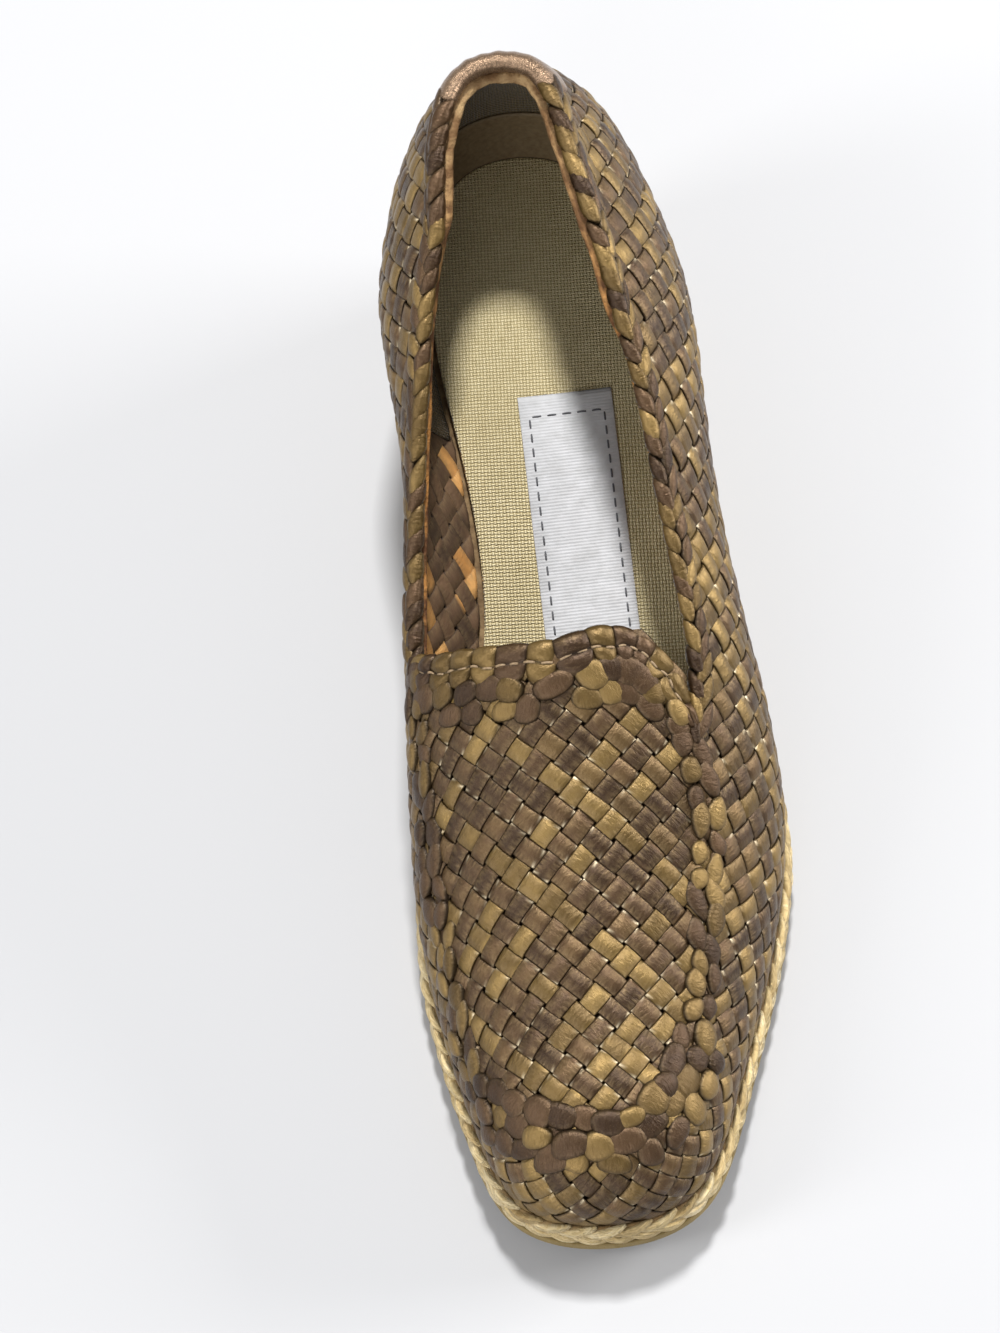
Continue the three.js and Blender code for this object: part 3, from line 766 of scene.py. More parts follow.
# The vamp's chart: s runs across from the ridge to both sides and h along the ridge to the toe
vamp_step = 0.5
vamp_rows = np.arange(0.50, 0.992, 0.003) * shoe_length
vamp_across = np.arange(-52, 46.1, vamp_step)
ridge_places = np.minimum(vamp_rows / shoe_length, spine_end)
ridge_x = ridge_shift(ridge_places) * ball_width
plan_steps = np.arange(-44, 40.1, 0.4)
up_and_down = np.linspace(0, 1, 140)
vamp_sections, ridge_points = [], []
for x, y in zip(ridge_x, vamp_rows):
    if y <= spine_end * shoe_length:
        sides = [last_point(place_at(y / shoe_length, outer), up_and_down) for outer in (False, True)]
        section = np.concatenate([sides[0], sides[1][-2::-1]])
        middle = len(up_and_down) - 1
    else:
        section = last_point(*place_over(plan_steps, np.full(len(plan_steps), y)))
        middle = int(np.argmin(np.abs(plan_steps - x)))
    lengths = lengths_along(section)
    ridge_points.append(section[middle])
    vamp_sections.append(read_line(vamp_across, lengths - lengths[middle], section))
vamp_sections, ridge_points = np.array(vamp_sections), np.array(ridge_points)
vamp_heights = lengths_along(ridge_points)
even_heights = np.arange(0, vamp_heights[-1], vamp_step)
rows_below = np.clip(np.searchsorted(vamp_heights, even_heights, "right") - 1, 0, len(vamp_heights) - 2)
part = ((even_heights - vamp_heights[rows_below]) / np.diff(vamp_heights)[rows_below])[:, None, None]
vamp_grid = vamp_sections[rows_below] * (1 - part) + vamp_sections[rows_below + 1] * part
vamp = Chart(np.moveaxis(vamp_grid, 0, 1), (vamp_across[0], 0), (vamp_step, vamp_step))


def lengths_of(chart, points):
    """Lengths (s, h) on a chart of the places nearest to some points."""
    count_s, count_h = chart.points.shape[:2]
    found = []
    for point in points:
        i, k = divmod(int(np.argmin(((chart.points - point) ** 2).sum(-1))), count_h)
        i0, k0 = min(max(i, 1), count_s - 2), min(max(k, 1), count_h - 2)
        ds = (chart.points[i0 + 1, k0] - chart.points[i0 - 1, k0]) / 2
        dh = (chart.points[i0, k0 + 1] - chart.points[i0, k0 - 1]) / 2
        rest = point - chart.points[i, k]
        fine = [np.clip(rest @ d / max(d @ d, 1e-9), -0.6, 0.6) for d in (ds, dh)]
        found.append(chart.start + (np.array([i, k]) + fine) * chart.step)
    return np.array(found)


# The pebbled seam's line in plan, as shares: along and across, from the outer notch round the toe
SEAM_LINE = [
    (0.615, 0.304), (0.645, 0.302), (0.688, 0.314), (0.737, 0.294), (0.796, 0.265), (0.839, 0.232),
    (0.882, 0.183), (0.916, 0.118), (0.938, 0.036), (0.944, -0.070), (0.936, -0.180), (0.914, -0.300),
    (0.880, -0.390), (0.839, -0.419), (0.785, -0.434), (0.716, -0.448), (0.650, -0.450), (0.587, -0.446),
    (0.516, -0.438)]
seam_spline_y = spline_through([row[0] for row in SEAM_LINE], False)
seam_spline_x = spline_through([row[1] for row in SEAM_LINE], False)
seam_steps = np.linspace(0, len(SEAM_LINE) - 1, 400)
seam_x, seam_y = seam_spline_x(seam_steps) * ball_width, seam_spline_y(seam_steps) * shoe_length
seam_u, seam_v = place_over(seam_x, seam_y)
seam_on_vamp = lengths_of(vamp, last_point(seam_u, seam_v))


def rib_length(u, v):
    """How far up its rib a place lies."""
    column = np.interp(u, np.append(wall_places, point_count), np.arange(wall_columns + 1)) % wall_columns
    lengths = rib_lengths[np.floor(column).astype(int) % wall_columns]
    return np.array([np.interp(share, rib_shares, row) for share, row in zip(np.atleast_1d(v), lengths)])


# The top of the wall over s: the topline of the quarters, then the seam in front of both notches
outer_end, inner_end = float(place_at(outer_notch, True)), float(place_at(inner_notch, False))
quarter_u = np.concatenate([np.linspace(0, outer_end, 120), np.linspace(inner_end, point_count - 0.001, 120)])
quarter_top = rib_length(quarter_u, collar_at(quarter_u))
seam_top = rib_length(seam_u, seam_v)
in_front = (seam_u > outer_end + 0.1) & (seam_u < inner_end - 0.1)
top_u = np.concatenate([quarter_u[:120], seam_u[in_front], quarter_u[120:]])
top_length = np.concatenate([quarter_top[:120], seam_top[in_front], quarter_top[120:]])
top_s = np.interp(top_u, fine_places, fine_lengths)


def wall_top(s):
    return np.interp(np.mod(s, edge_length), top_s, top_length, period=edge_length)


# The throat's edge over the ridge, from the inner notch to the outer one, on the vamp's chart
def throat_side(shares, outer):
    steps = np.linspace(0, len(shares) - 1, 60)
    u = place_at(spline_through(shares, False)(steps), outer)
    start = collar_at(place_at(shares[0], outer))
    return last_point(u, start + (0.999 - start) * (steps / steps[-1]) ** 2)


throat_points = np.concatenate([throat_side(INNER_THROAT, False), throat_side(OUTER_THROAT, True)[::-1]])
throat_line = evened(lengths_of(vamp, throat_points), 0.8)
vamp_outline = np.concatenate([throat_line, seam_on_vamp])


def in_outline(s, h, outline):
    """Whether points lie inside a closed outline."""
    inside = np.zeros(np.shape(s), bool)
    ends = np.roll(outline, -1, 0)
    for (s0, h0), (s1, h1) in zip(outline, ends):
        if h0 == h1:
            continue
        crossing = (h0 > h) != (h1 > h)
        inside ^= crossing & (s < (s1 - s0) * (h - h0) / (h1 - h0) + s0)
    return inside


def on_wall(s, h):
    return (h >= 0) & (h <= wall_top(s))


def on_vamp(s, h):
    return in_outline(s, h, vamp_outline)


def spread_over(line, count):
    """The same line with a number of points, spread evenly over its old ones."""
    return read_line(np.linspace(0, 1, count), np.linspace(0, 1, len(line)), line)


suede_material = mottled_finish(
    "dark_suede_backing", (700, 4), (0.3, 0.7), [(0.018, 0.010, 0.005), (0.055, 0.032, 0.017)],
    0.9, 0.0003, 0.2)

backing = Pieces()
wall_s = np.arange(wall_columns) * wall_step
up_shares = np.linspace(0, 1, 30)
tops = wall_top(wall_s) - 0.4
rings = []
for out, shares in ((backing_out, up_shares), (backing_in, up_shares[::-1])):
    for share in shares:
        rings.append(wall.at(wall_s, np.maximum(share * tops, 0.05), out))
backing.add(np.moveaxis(np.array(rings), 0, 1), looped=True)
split = int(np.argmin(np.abs(seam_y - seam_y.max())))
rows, columns = 120, 61
outer_side = spread_over(evened(seam_on_vamp[:split], 1.0), rows)
inner_side = spread_over(evened(seam_on_vamp[split:][::-1], 1.0), rows)
throat_across = spread_over(throat_line, columns)
across = np.linspace(0, 1, columns)[:, None]
chord = throat_across[0] + (throat_across[-1] - throat_across[0]) * across
rings = []
for k in range(rows - 2):
    line = inner_side[k] + (outer_side[k] - inner_side[k]) * across
    line = line + (throat_across - chord) * (1 - k / rows) ** 3
    over, under = (vamp.at(*line.T, out) for out in (backing_out, backing_in))
    rings.append(np.concatenate([over, under[::-1]]))
backing.add(rings)
backing_piece = backing.build("suede_backing", suede_material, "woven_leather")
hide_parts("upper")

# Upper, its woven leather: soft metallic strips of bronze brown and olive gold, each folded to
# five or six millimetres, woven over and under on the bias by hand.
strip_pairs = 77                      # each way round the sole edge
strip_pitch = edge_length / strip_pairs / math.sqrt(2)
strip_width, strip_thickness, strip_dome = 0.93, 0.62, 0.16
weave_height, weave_base = 0.40, -0.42
brown_shades = [(0.030, 0.014, 0.005), (0.082, 0.044, 0.019)]
gold_shades = [(0.098, 0.058, 0.014), (0.222, 0.142, 0.044)]
# The second colour is a painted highlight for the strips' corners, the third is painted shade for the gaps
# between strips and plates.
worn_shade, glint_shade, crevice_shadow_colour = (0.26, 0.175, 0.08), (0.80, 0.68, 0.46), (0.010, 0.006, 0.003)
chance = np.random.default_rng(20)
cell_noise = chance.random((2, 512, 512))
gold_strip = np.clip((chance.random((2, 512)) - 0.50) * 6, 0, 1)


def leather_finish(name, browns, golds, roughness=0.34, metal=0.6):
    """Foiled leather: bronze or gold by its tone, creased, worn pale on its edges, with a painted highlight
    at corners and painted shade in crevices.
    """
    leather = Finish(name)
    tone, _ = leather.value_of("tone")
    age, _ = leather.value_of("age")
    rim, _ = leather.value_of("rim")
    glint, _ = leather.value_of("glint")
    crevice, _ = leather.value_of("crevice")
    _, grain = leather.value_of("grain")
    cloud = leather.noise(grain, 0.35, 3)
    pores = leather.noise(leather.stretched(grain, (1.0, 1.0, 3.0)), 4.5, 4, 0.65)
    creases = leather.noise(leather.stretched(grain, (1.0, 0.32, 3.0)), 1.6, 3, 0.6)
    shade = leather.math("ADD", leather.math("MULTIPLY", age, 0.6), leather.math("MULTIPLY", cloud, 0.55))
    lift = leather.spread(shade, 0.3, 0.85)
    brown = leather.mix(lift, *browns)
    gold = leather.mix(lift, *golds)
    colour = leather.mix(tone, brown, gold)
    dust = leather.spread(pores, 0.54, 0.74, 0, 0.30)
    colour = leather.mix(dust, colour, worn_shade)
    worn = leather.math("MULTIPLY", rim, leather.spread(creases, 0.35, 0.65, 0.0, 0.5))
    colour = leather.mix(worn, colour, worn_shade)
    # Painted highlight: pale dots where the strips' edges meet at the crossings.
    colour = leather.mix(leather.math("POWER", glint, 2.5), colour, glint_shade)
    # Painted shade: darker towards the gaps and undersides between strips, plates and folds.
    colour = leather.mix(leather.math("MULTIPLY", crevice, 0.85), colour, crevice_shadow_colour)
    gloss = leather.spread(pores, 0.3, 0.7, roughness - 0.07, roughness + 0.15)
    relief = leather.bump(creases, 0.00025, leather.bump(pores, 0.00008))
    return leather.finish(colour, gloss, relief, Metallic=metal, Specular_IOR_Level=0.5)


leather_material = leather_finish("woven_bronze_and_gold_leather", brown_shades, gold_shades)


def strip_section(width):
    """Across places and heights of one strip, closed underneath."""
    half = width / 2
    across = [-half, -half + 0.36, 0, half - 0.36, half, half - 0.3, -half + 0.3]
    t = strip_thickness
    lift = [0.5 * t, t, t + strip_dome, t, 0.5 * t, 0, 0]
    rim = [0, 1, 0, 1, 0, 0, 0]
    # Painted shade on the strip's sides and underside, where it meets its neighbours.
    crevice = [1, 0.1, 0, 0.1, 1, 1, 1]
    return [np.array(row, float) for row in (across, lift, rim, crevice)]


def longest_run(mask):
    """First and last index of the longest unbroken run of true values."""
    edges = np.flatnonzero(np.diff(np.concatenate([[0], mask.astype(int), [0]])))
    if len(edges) == 0:
        return None
    starts, stops = edges[::2], edges[1::2]
    best = int(np.argmax(stops - starts))
    return starts[best], stops[best] - 1


def weave_strips(pieces, chart, inside, family, indices, reach, steps_per_cell=7, base=weave_base,
                 height=weave_height, face=1, tone_of=None):
    """One set of parallel strips on a chart, at 45 degrees, clipped to where inside is true."""
    p = strip_pitch
    for index in indices:
        wobble = cell_noise[family, index % 512, :3] - 0.5
        width = p * (strip_width + 0.03 * wobble[0])
        offsets, lifts, rims, crevice_shadings = strip_section(width)
        centre = (index + 0.5) * p + 0.25 * wobble[1]
        t_fine = np.arange(reach[0], reach[1], 0.25)

        def to_chart(t, c):
            if family == 0:
                return (t + c) / math.sqrt(2), (t - c) / math.sqrt(2)
            return (c - t) / math.sqrt(2), (t + c) / math.sqrt(2)

        run = longest_run(inside(*to_chart(t_fine, centre + 0 * t_fine)))
        if run is None or run[1] - run[0] < 12:
            continue
        start, stop = t_fine[run[0]], t_fine[run[1]]
        starts, stops = [], []
        for offset in offsets:
            side = longest_run(inside(*to_chart(t_fine, centre + offset + 0 * t_fine)))
            first, last = (start, stop) if side is None else (t_fine[side[0]], t_fine[side[1]])
            starts.append(np.clip(first, start - 4, start + 4))
            stops.append(np.clip(last, stop - 4, stop + 4))
        step = p / steps_per_cell
        inner = np.arange(math.ceil(start / step + 0.5), math.floor(stop / step - 0.5) + 1) * step
        t = np.concatenate([[start], inner, [stop]])
        fade = min(7.0, (stop - start) / 2)
        near_start = np.clip(1 - (t - start) / fade, 0, 1)[:, None]
        near_stop = np.clip(1 - (stop - t) / fade, 0, 1)[:, None]
        t = t[:, None] + (np.array(starts) - start) * near_start + (np.array(stops) - stop) * near_stop
        sway = 0.16 * np.sin(t / 9.0 + 6 * wobble[2]) + 0.10 * np.sin(t / 3.7 + 9 * wobble[1])
        c = centre + offsets[None] * (1 + 0.03 * np.sin(t / 2.9 + index)) + sway
        crossing, sign = (t / p, 1) if family == 0 else (-t / p, -1)
        cell = np.floor(crossing).astype(int)
        chance_here = cell_noise[1 - family, index % 512, cell % 512]
        wave = np.sin(math.pi * crossing)
        shaped = np.tanh(2.6 * wave) / math.tanh(2.6)
        parity = 1 if index % 2 == 0 else -1
        rise = height * shaped * parity * sign
        over = rise * face > 0
        puff = 1 + 0.5 * (chance_here - 0.5) * np.abs(wave)
        lift = lifts[None] * np.where(over, puff, 1)
        tilt = (chance_here - 0.5) * 0.22 * offsets[None] / p * np.abs(wave)
        s, h = to_chart(t, c)
        out = base + rise + face * (lift + tilt)
        rings = chart.at(s, np.maximum(h, 0), out)
        if tone_of is None:
            tone = np.clip(gold_strip[family, index % 512] + 0.35 * (chance_here - 0.5) * np.abs(wave), 0, 1)
        else:
            tone = tone_of(index, cell)
        grain = grain_at(t, c - centre, index * 3.7 + family * 170)
        # Painted highlight at some of the corners where the strips cross.
        at_corner = (np.abs(crossing - np.round(crossing)) < 0.05) & (rims[None] > 0.6)
        glint = at_corner * np.clip(1.5 * cell_noise[family, (index + 90) % 512, cell % 512] - 0.4, 0, 1)
        pieces.add(rings, tone=tone, age=chance_here, rim=rims, glint=glint * (face > 0),
                   crevice=crevice_shadings, grain=grain)


wall_reach = [(-5, 580), (-450, 140)]    # from where to where the strips of each set run
wall_weave = Pieces()
for family in (0, 1):
    weave_strips(wall_weave, wall, on_wall, family, range(strip_pairs), wall_reach[family])
wall_weave_piece = wall_weave.build("woven_quarters", leather_material, "woven_leather")
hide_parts("upper")

vamp_weave = Pieces()
for family in (0, 1):
    weave_strips(vamp_weave, vamp, on_vamp, family, range(-24, 32), (-80, 200))
vamp_weave.build("woven_vamp", leather_material, "woven_leather")

# The weave's rough side, seen inside the quarters in front of the heel lining: the backs of the
# same strips, dark suede with a few raw orange-tan ones.
lining_end, rough_end = 0.28, 0.70
dark_backs = [(0.05, 0.026, 0.013), (0.16, 0.088, 0.045)]
orange_backs = [(0.50, 0.23, 0.06), (0.85, 0.46, 0.15)]
rough_material = leather_finish("rough_strip_backs", dark_backs, orange_backs, roughness=0.75, metal=0.0)


def share_after(run):
    """The share of the shoe's length that a length round the sole edge leads to."""
    return sole_line(place_after(run))[..., 1] / shoe_length


def inside_front(s, h):
    share = share_after(s)
    return on_wall(s, h) & (share > lining_end - 0.02) & (share < rough_end)


def raw_tone(index, cell):
    return (cell_noise[0, (index * 7) % 512, (cell // 3) % 512] > 0.74) * 1.0


rough_weave = Pieces()
for family in (0, 1):
    weave_strips(rough_weave, wall, inside_front, family, range(strip_pairs), wall_reach[family],
                 steps_per_cell=4, base=-1.22, height=0.22, face=-1, tone_of=raw_tone)
rough_weave.build("rough_inner_weave", rough_material, "woven_leather")

# Heel lining: linen canvas glued round the inside of the heel, with a smooth pale grip patch sewn
# low on it. Both end in front under the woven strips' backs.
lining_out, lining_thickness = -2.1, 0.35
lining_foot, lining_rows = 1.2, 24
patch_reach, patch_height = 42.0, 21.0
patch_out, patch_thickness = -2.5, 0.5


def side_runs(from_share, to_share, step):
    """Even lengths round the sole edge over the heel, from the inner side to the outer side."""
    start = run_to(place_at(from_share, False)) - edge_length
    stop = run_to(place_at(to_share, True))
    return np.linspace(start, stop, max(2, round((stop - start) / step)))


def inner_sheet(runs, low, high, out, thickness, rows=14):
    """Rings of a thin sheet that follows the inside of the wall between two heights."""
    ups = np.linspace(0, 1, rows)
    sheets = []
    for depth, order in ((out, ups), (out - thickness, ups[::-1])):
        for up in order:
            height = low + (high - low) * up
            sheets.append(wall.at(runs, height, depth))
    return np.moveaxis(np.array(sheets), 0, 1)


lining_runs = side_runs(lining_end, lining_end, 1.6)
lining = Pieces()
lining_tops = wall_top(lining_runs) - 1.0
lining_rings = inner_sheet(lining_runs, lining_foot, lining_tops, lining_out, lining_thickness, lining_rows)
lining_laid = np.zeros(lining_rings.shape)
lining_laid[..., 0] = lining_runs[:, None] / 1000
lining_laid[..., 1] = np.concatenate([np.linspace(0, 0.05, lining_rows), np.linspace(0.05, 0, lining_rows)])
lining.add(lining_rings, laid=lining_laid)
# A darker copy of the insole's linen colours: painted shade for the inside of the heel.
shaded_linen = [(0.06, 0.040, 0.014), (0.13, 0.092, 0.038), (0.18, 0.135, 0.065)]
heel_linen = canvas_finish("heel_linen", shaded_linen, yarn_pitch, laid_out="laid")
lining_piece = lining.build("heel_lining", heel_linen, "linen")

# Beige grip leather, its colours darkened as painted shade for the inside of the heel.
patch_material = mottled_finish(
    "pale_grip_leather", (900, 4), (0.3, 0.7), [(0.14, 0.095, 0.045), (0.20, 0.145, 0.078)],
    0.65, 0.0002, 0.35)
patch_runs = np.linspace(-patch_reach, patch_reach, 60)
patch_top = patch_height * np.sqrt(np.maximum(0.02, 1 - (patch_runs / patch_reach) ** 4))
heel_patch = Pieces()
heel_patch.add(inner_sheet(
    patch_runs, lining_foot, np.maximum(patch_top, lining_foot + 0.8), patch_out, patch_thickness))
heel_patch.build("heel_grip_patch", patch_material, "linen")

# Collar rim: the strips are turned over the topline and trimmed to leaf-like ends that overlap
# along it. Inside them runs the folded tan edge of the lining.
rim_drop, rim_radius, rim_out = 3.0, 0.85, -0.35
leaf_length, leaf_width, leaf_step = 9.4, 3.1, 5.2
binding_share = 0.066
# A plate's rings from below to its top: size, height, worn rim and painted crevice shade, all as shares
plate_sizes, plate_lifts = (0.25, 0.96, 1.0, 0.94, 0.80, 0.5, 0.16), (0.0, 0.0, 0.35, 0.62, 0.86, 0.97, 1.0)
plate_rims, plate_crevice_shading = (0, 0, 0, 1, 0.3, 0, 0), (1, 1, 1, 0.9, 0.12, 0, 0)
plate_turns = np.linspace(0, 2 * math.pi, 18, endpoint=False)


def plate_rings(chart, s, h, angle, length, width, rise, low, point=2.3, lump=0.0, seed=0):
    """Rings of one domed plate on a chart, its outline between a leaf and a rounded square."""
    cos, sin = np.cos(plate_turns), np.sin(plate_turns)
    uneven = 1 + lump * (np.sin(2 * plate_turns + seed) * 0.5 + np.sin(3 * plate_turns + 2.3 * seed) * 0.5)
    x = np.sign(cos) * np.abs(cos) ** (2 / point) * length / 2 * uneven
    y = np.sign(sin) * np.abs(sin) ** (2 / point) * width / 2 * uneven
    rings = []
    for size, lift in zip(plate_sizes, plate_lifts):
        a, b = x * size, y * size
        rings.append(chart.at(s + a * math.cos(angle) - b * math.sin(angle),
                              h + a * math.sin(angle) + b * math.cos(angle), low + lift * rise))
    return np.array(rings)


def add_plate(pieces, chart, s, h, angle, length, width, rise, low, tone, **shape):
    """One plate with its own tone and grain."""
    seed = 0.37 * pieces.count
    rings = plate_rings(chart, s, h, angle, length, width, rise, low, seed=seed, **shape)
    size, rim, crevice = np.array([plate_sizes, plate_rims, plate_crevice_shading])[..., None]
    grain = grain_at(size * np.cos(plate_turns) * length / 2, size * np.sin(plate_turns) * width / 2, seed)
    pieces.add(rings, tone=tone, age=float(chance.random()), rim=rim, crevice=crevice, grain=grain)


def collar_runs(outer, step, reach):
    """Even lengths round the sole edge along one side's topline, from the binding to the notch."""
    notch = outer_notch if outer else inner_notch
    ends = run_to(place_at(np.array([binding_share - 0.02, notch + reach]), outer))
    return np.linspace(*ends, max(2, round(abs(ends[1] - ends[0]) / step)))


def rim_profile(steps=26):
    """Drop below the topline and distance off the wall over the rounded rim, from outside to inside."""
    arc = np.linspace(0, rim_drop + math.pi * rim_radius, steps)
    turn = np.clip((arc - rim_drop) / rim_radius, 0, math.pi)
    drop = np.maximum(rim_drop - arc, 0) - rim_radius * np.sin(turn)
    return arc, drop, rim_out + rim_radius * np.cos(turn)


tan_edge = Finish("folded_tan_edge")
tan_nap = tan_edge.noise(tan_edge.place, 800, 4)
tan_cloud = tan_edge.noise(tan_edge.place, 200, 3)
tan_front = tan_edge.value_of("age")[0]
tan_dark = tan_edge.mix(tan_front, (0.17, 0.09, 0.035), (0.09, 0.034, 0.010))
tan_light = tan_edge.mix(tan_front, (0.40, 0.265, 0.125), (0.40, 0.18, 0.045))
tan_colour = tan_edge.mix(tan_edge.spread(tan_cloud, 0.44, 0.60), tan_dark, tan_light)
tan_colour = tan_edge.mix(tan_edge.spread(tan_nap, 0.48, 0.66, 0, 0.6), tan_colour, (0.15, 0.075, 0.025))
tan_material = tan_edge.finish(tan_colour, 0.75, tan_edge.bump(tan_nap, 0.0008), Specular_IOR_Level=0.3)

collar_rim, collar_leaves = Pieces(), Pieces()
arc, drop, profile_out = rim_profile()
for outer in (True, False):
    runs = collar_runs(outer, 1.0, 0.012)
    tops = wall_top(runs)
    surface = wall.at(runs[:, None], tops[:, None] - drop, profile_out)
    under = [wall.at(runs, tops - d, o) for d, o in ((rim_drop / 3, -0.9), (rim_drop, -0.5))]
    rings = np.concatenate([surface, np.stack(under, 1)], 1)
    rim_grain = grain_at(runs[:, None], np.arange(1, rings.shape[1] + 1), 0)
    # The rim under the leaves is darkened all along: painted shade for the gaps between the leaves.
    collar_rim.add(rings, tone=0.2, age=0.3, crevice=0.6, grain=rim_grain)
    lengths = lengths_along(surface[:, -8])
    even = np.linspace(0, lengths[-1], round(lengths[-1]) + 1)
    grid = np.stack([read_line(even, lengths, surface[:, k]) for k in range(len(arc))], 1)
    rim_chart = Chart(grid, (0, 0), (even[1], arc[1]))
    if not outer:
        rim_chart.normals = -rim_chart.normals
    for k in range(int(even[-1] / leaf_step)):
        for row, slant in ((1.6, 0.36), (4.3, -0.30)):
            wild = chance.random(5)
            along = (k + 0.5 + 0.5 * (row > 3) + 0.3 * (wild[0] - 0.5)) * leaf_step
            length, width = leaf_length * (0.85 + 0.3 * wild[3]), leaf_width * (0.85 + 0.3 * wild[4])
            across, angle = row + 0.5 * (wild[1] - 0.5), slant + 0.25 * (wild[2] - 0.5)
            add_plate(collar_leaves, rim_chart, along, across, angle, length, width, 1.9, -0.5,
                      float(wild[2] > 0.5) * 0.9, point=1.45, lump=0.05)
collar_rim.build("collar_rim", leather_material, "woven_leather")
collar_leaves.build("collar_strip_ends", leather_material, "woven_leather")

edge_runs = side_runs(inner_notch, outer_notch, 1.0)
edge_share = share_after(edge_runs)
edge_depth = np.interp(edge_share, [0, 0.07, 0.2], [2.6, 2.2, 1.3])
edge_out = np.interp(edge_share, [0, 0.07, 0.2, 0.4], [-3.8, -3.5, -2.9, -2.5])
edge_half = np.interp(edge_share, [0, 0.2, 0.4], [1.5, 1.45, 1.0])
edge_half = edge_half + 0.10 * np.sin(edge_runs / 3.1) + 0.08 * np.sin(edge_runs / 1.7)
edge_tops = wall_top(edge_runs)
tan_edges = Pieces()
rings = []
for turn in np.linspace(0, 2 * math.pi, 10, endpoint=False):
    drop_here = edge_depth + 1.1 * math.cos(turn)
    rings.append(wall.at(edge_runs, edge_tops - drop_here, edge_out + edge_half * math.sin(turn)))
tan_edges.add(np.stack(rings, 1), age=np.interp(edge_share, [0.1, 0.3], [0, 1])[:, None])
tan_edges.build("lining_edge", tan_material, "woven_leather")

# Pebbled seam: where the quarters' strips meet the vamp's they are gathered into overlapping
# rounded plates, two rows down both sides and three or four over the toe.
def ways_along(line):
    """Unit steps along a flat line and square to it, at each of its points."""
    ahead = np.gradient(line, axis=0)
    ahead /= np.linalg.norm(ahead, axis=1, keepdims=True)
    return ahead, np.column_stack([-ahead[:, 1], ahead[:, 0]])


seam_step, throat_step = 0.5, 0.7
seam_even = evened(seam_on_vamp, seam_step)
seam_ahead, seam_aside = ways_along(seam_even)
if (seam_aside * (seam_even - seam_even.mean(0))).sum() < 0:
    seam_aside = -seam_aside
seam_total = seam_step * (len(seam_even) - 1)
front_middle = seam_step * int(np.argmax(seam_even[:, 1]))
pebble_length, pebble_width, pebble_step = 7.8, 5.0, 6.0
pebbles = Pieces()
for row, offset in enumerate((-2.9, 1.7, 6.0)):
    for k in range(int(seam_total / pebble_step)):
        wild = chance.random(6)
        run = (k + 0.5 + 0.5 * (row % 2) + 0.35 * (wild[0] - 0.5)) * pebble_step
        front = math.exp(-((run - front_middle) / 34) ** 4)
        if run > seam_total - 2 or (row == 2 and front < 0.4):
            continue
        at = int(run / 0.5)
        place = seam_even[at] + seam_aside[at] * (offset + 1.4 * (wild[1] - 0.5))
        angle = math.atan2(seam_ahead[at, 1], seam_ahead[at, 0]) + 1.1 * (wild[2] - 0.5) * (1 - 0.4 * front)
        length = pebble_length * (0.74 + 0.50 * wild[3])
        width = pebble_width * (0.78 + 0.44 * wild[4]) * (1 + 0.20 * front)
        add_plate(pebbles, vamp, place[0], place[1], angle, length, width, 1.7 + 0.9 * wild[1], -0.5,
                  float(wild[5] > 0.54) * (0.7 + 0.3 * wild[0]), point=1.62 + 0.65 * front, lump=0.09)
pebbles.build("pebbled_seam", leather_material, "woven_leather")

# Throat edge: the vamp's strip ends are folded over the throat and sewn down with a wavy line of
# thread, above two rows of wide rounded plates.
fold_cell, fold_overlap = 6.4, 1.10
throat_even = evened(throat_line, throat_step)
throat_ahead, throat_in = ways_along(throat_even)
if throat_in[:, 1].sum() < 0:
    throat_in = -throat_in
throat_run = throat_step * np.arange(len(throat_even))
throat_length = throat_run[-1]
# Depth in from the edge and height off the vamp over the folded strip end, from its inside round
fold_profile = np.array([
    (4.5, -1.7), (1.5, -2.0), (-0.2, -1.8), (-0.9, -0.9), (-0.85, 0.0), (-0.2, 0.8), (0.8, 1.15),
    (1.9, 1.25), (2.7, 1.0), (3.2, 0.55), (3.7, 1.0), (4.5, 1.25), (5.4, 1.2), (6.2, 0.9), (6.6, 0.3),
    (6.2, -0.5), (5.4, -0.9)])


def stitch_sway(run):
    return 0.35 * np.sin(run / 2.1) + 0.25 * np.sin(run / 1.1 + 1)


def throat_taper(run):
    """The fold gets narrower towards both notches."""
    return np.clip(np.minimum(run, throat_length - run) / 9, 0.4, 1)


def beside_throat(run, depth, out):
    """Points at lengths along the throat's edge, in from it and off the vamp."""
    edge, way = read_line(run, throat_run, throat_even), read_line(run, throat_run, throat_in)
    way /= np.linalg.norm(way, axis=-1, keepdims=True)
    place = edge + way * np.asarray(depth)[..., None]
    return vamp.at(place[..., 0], place[..., 1], out)


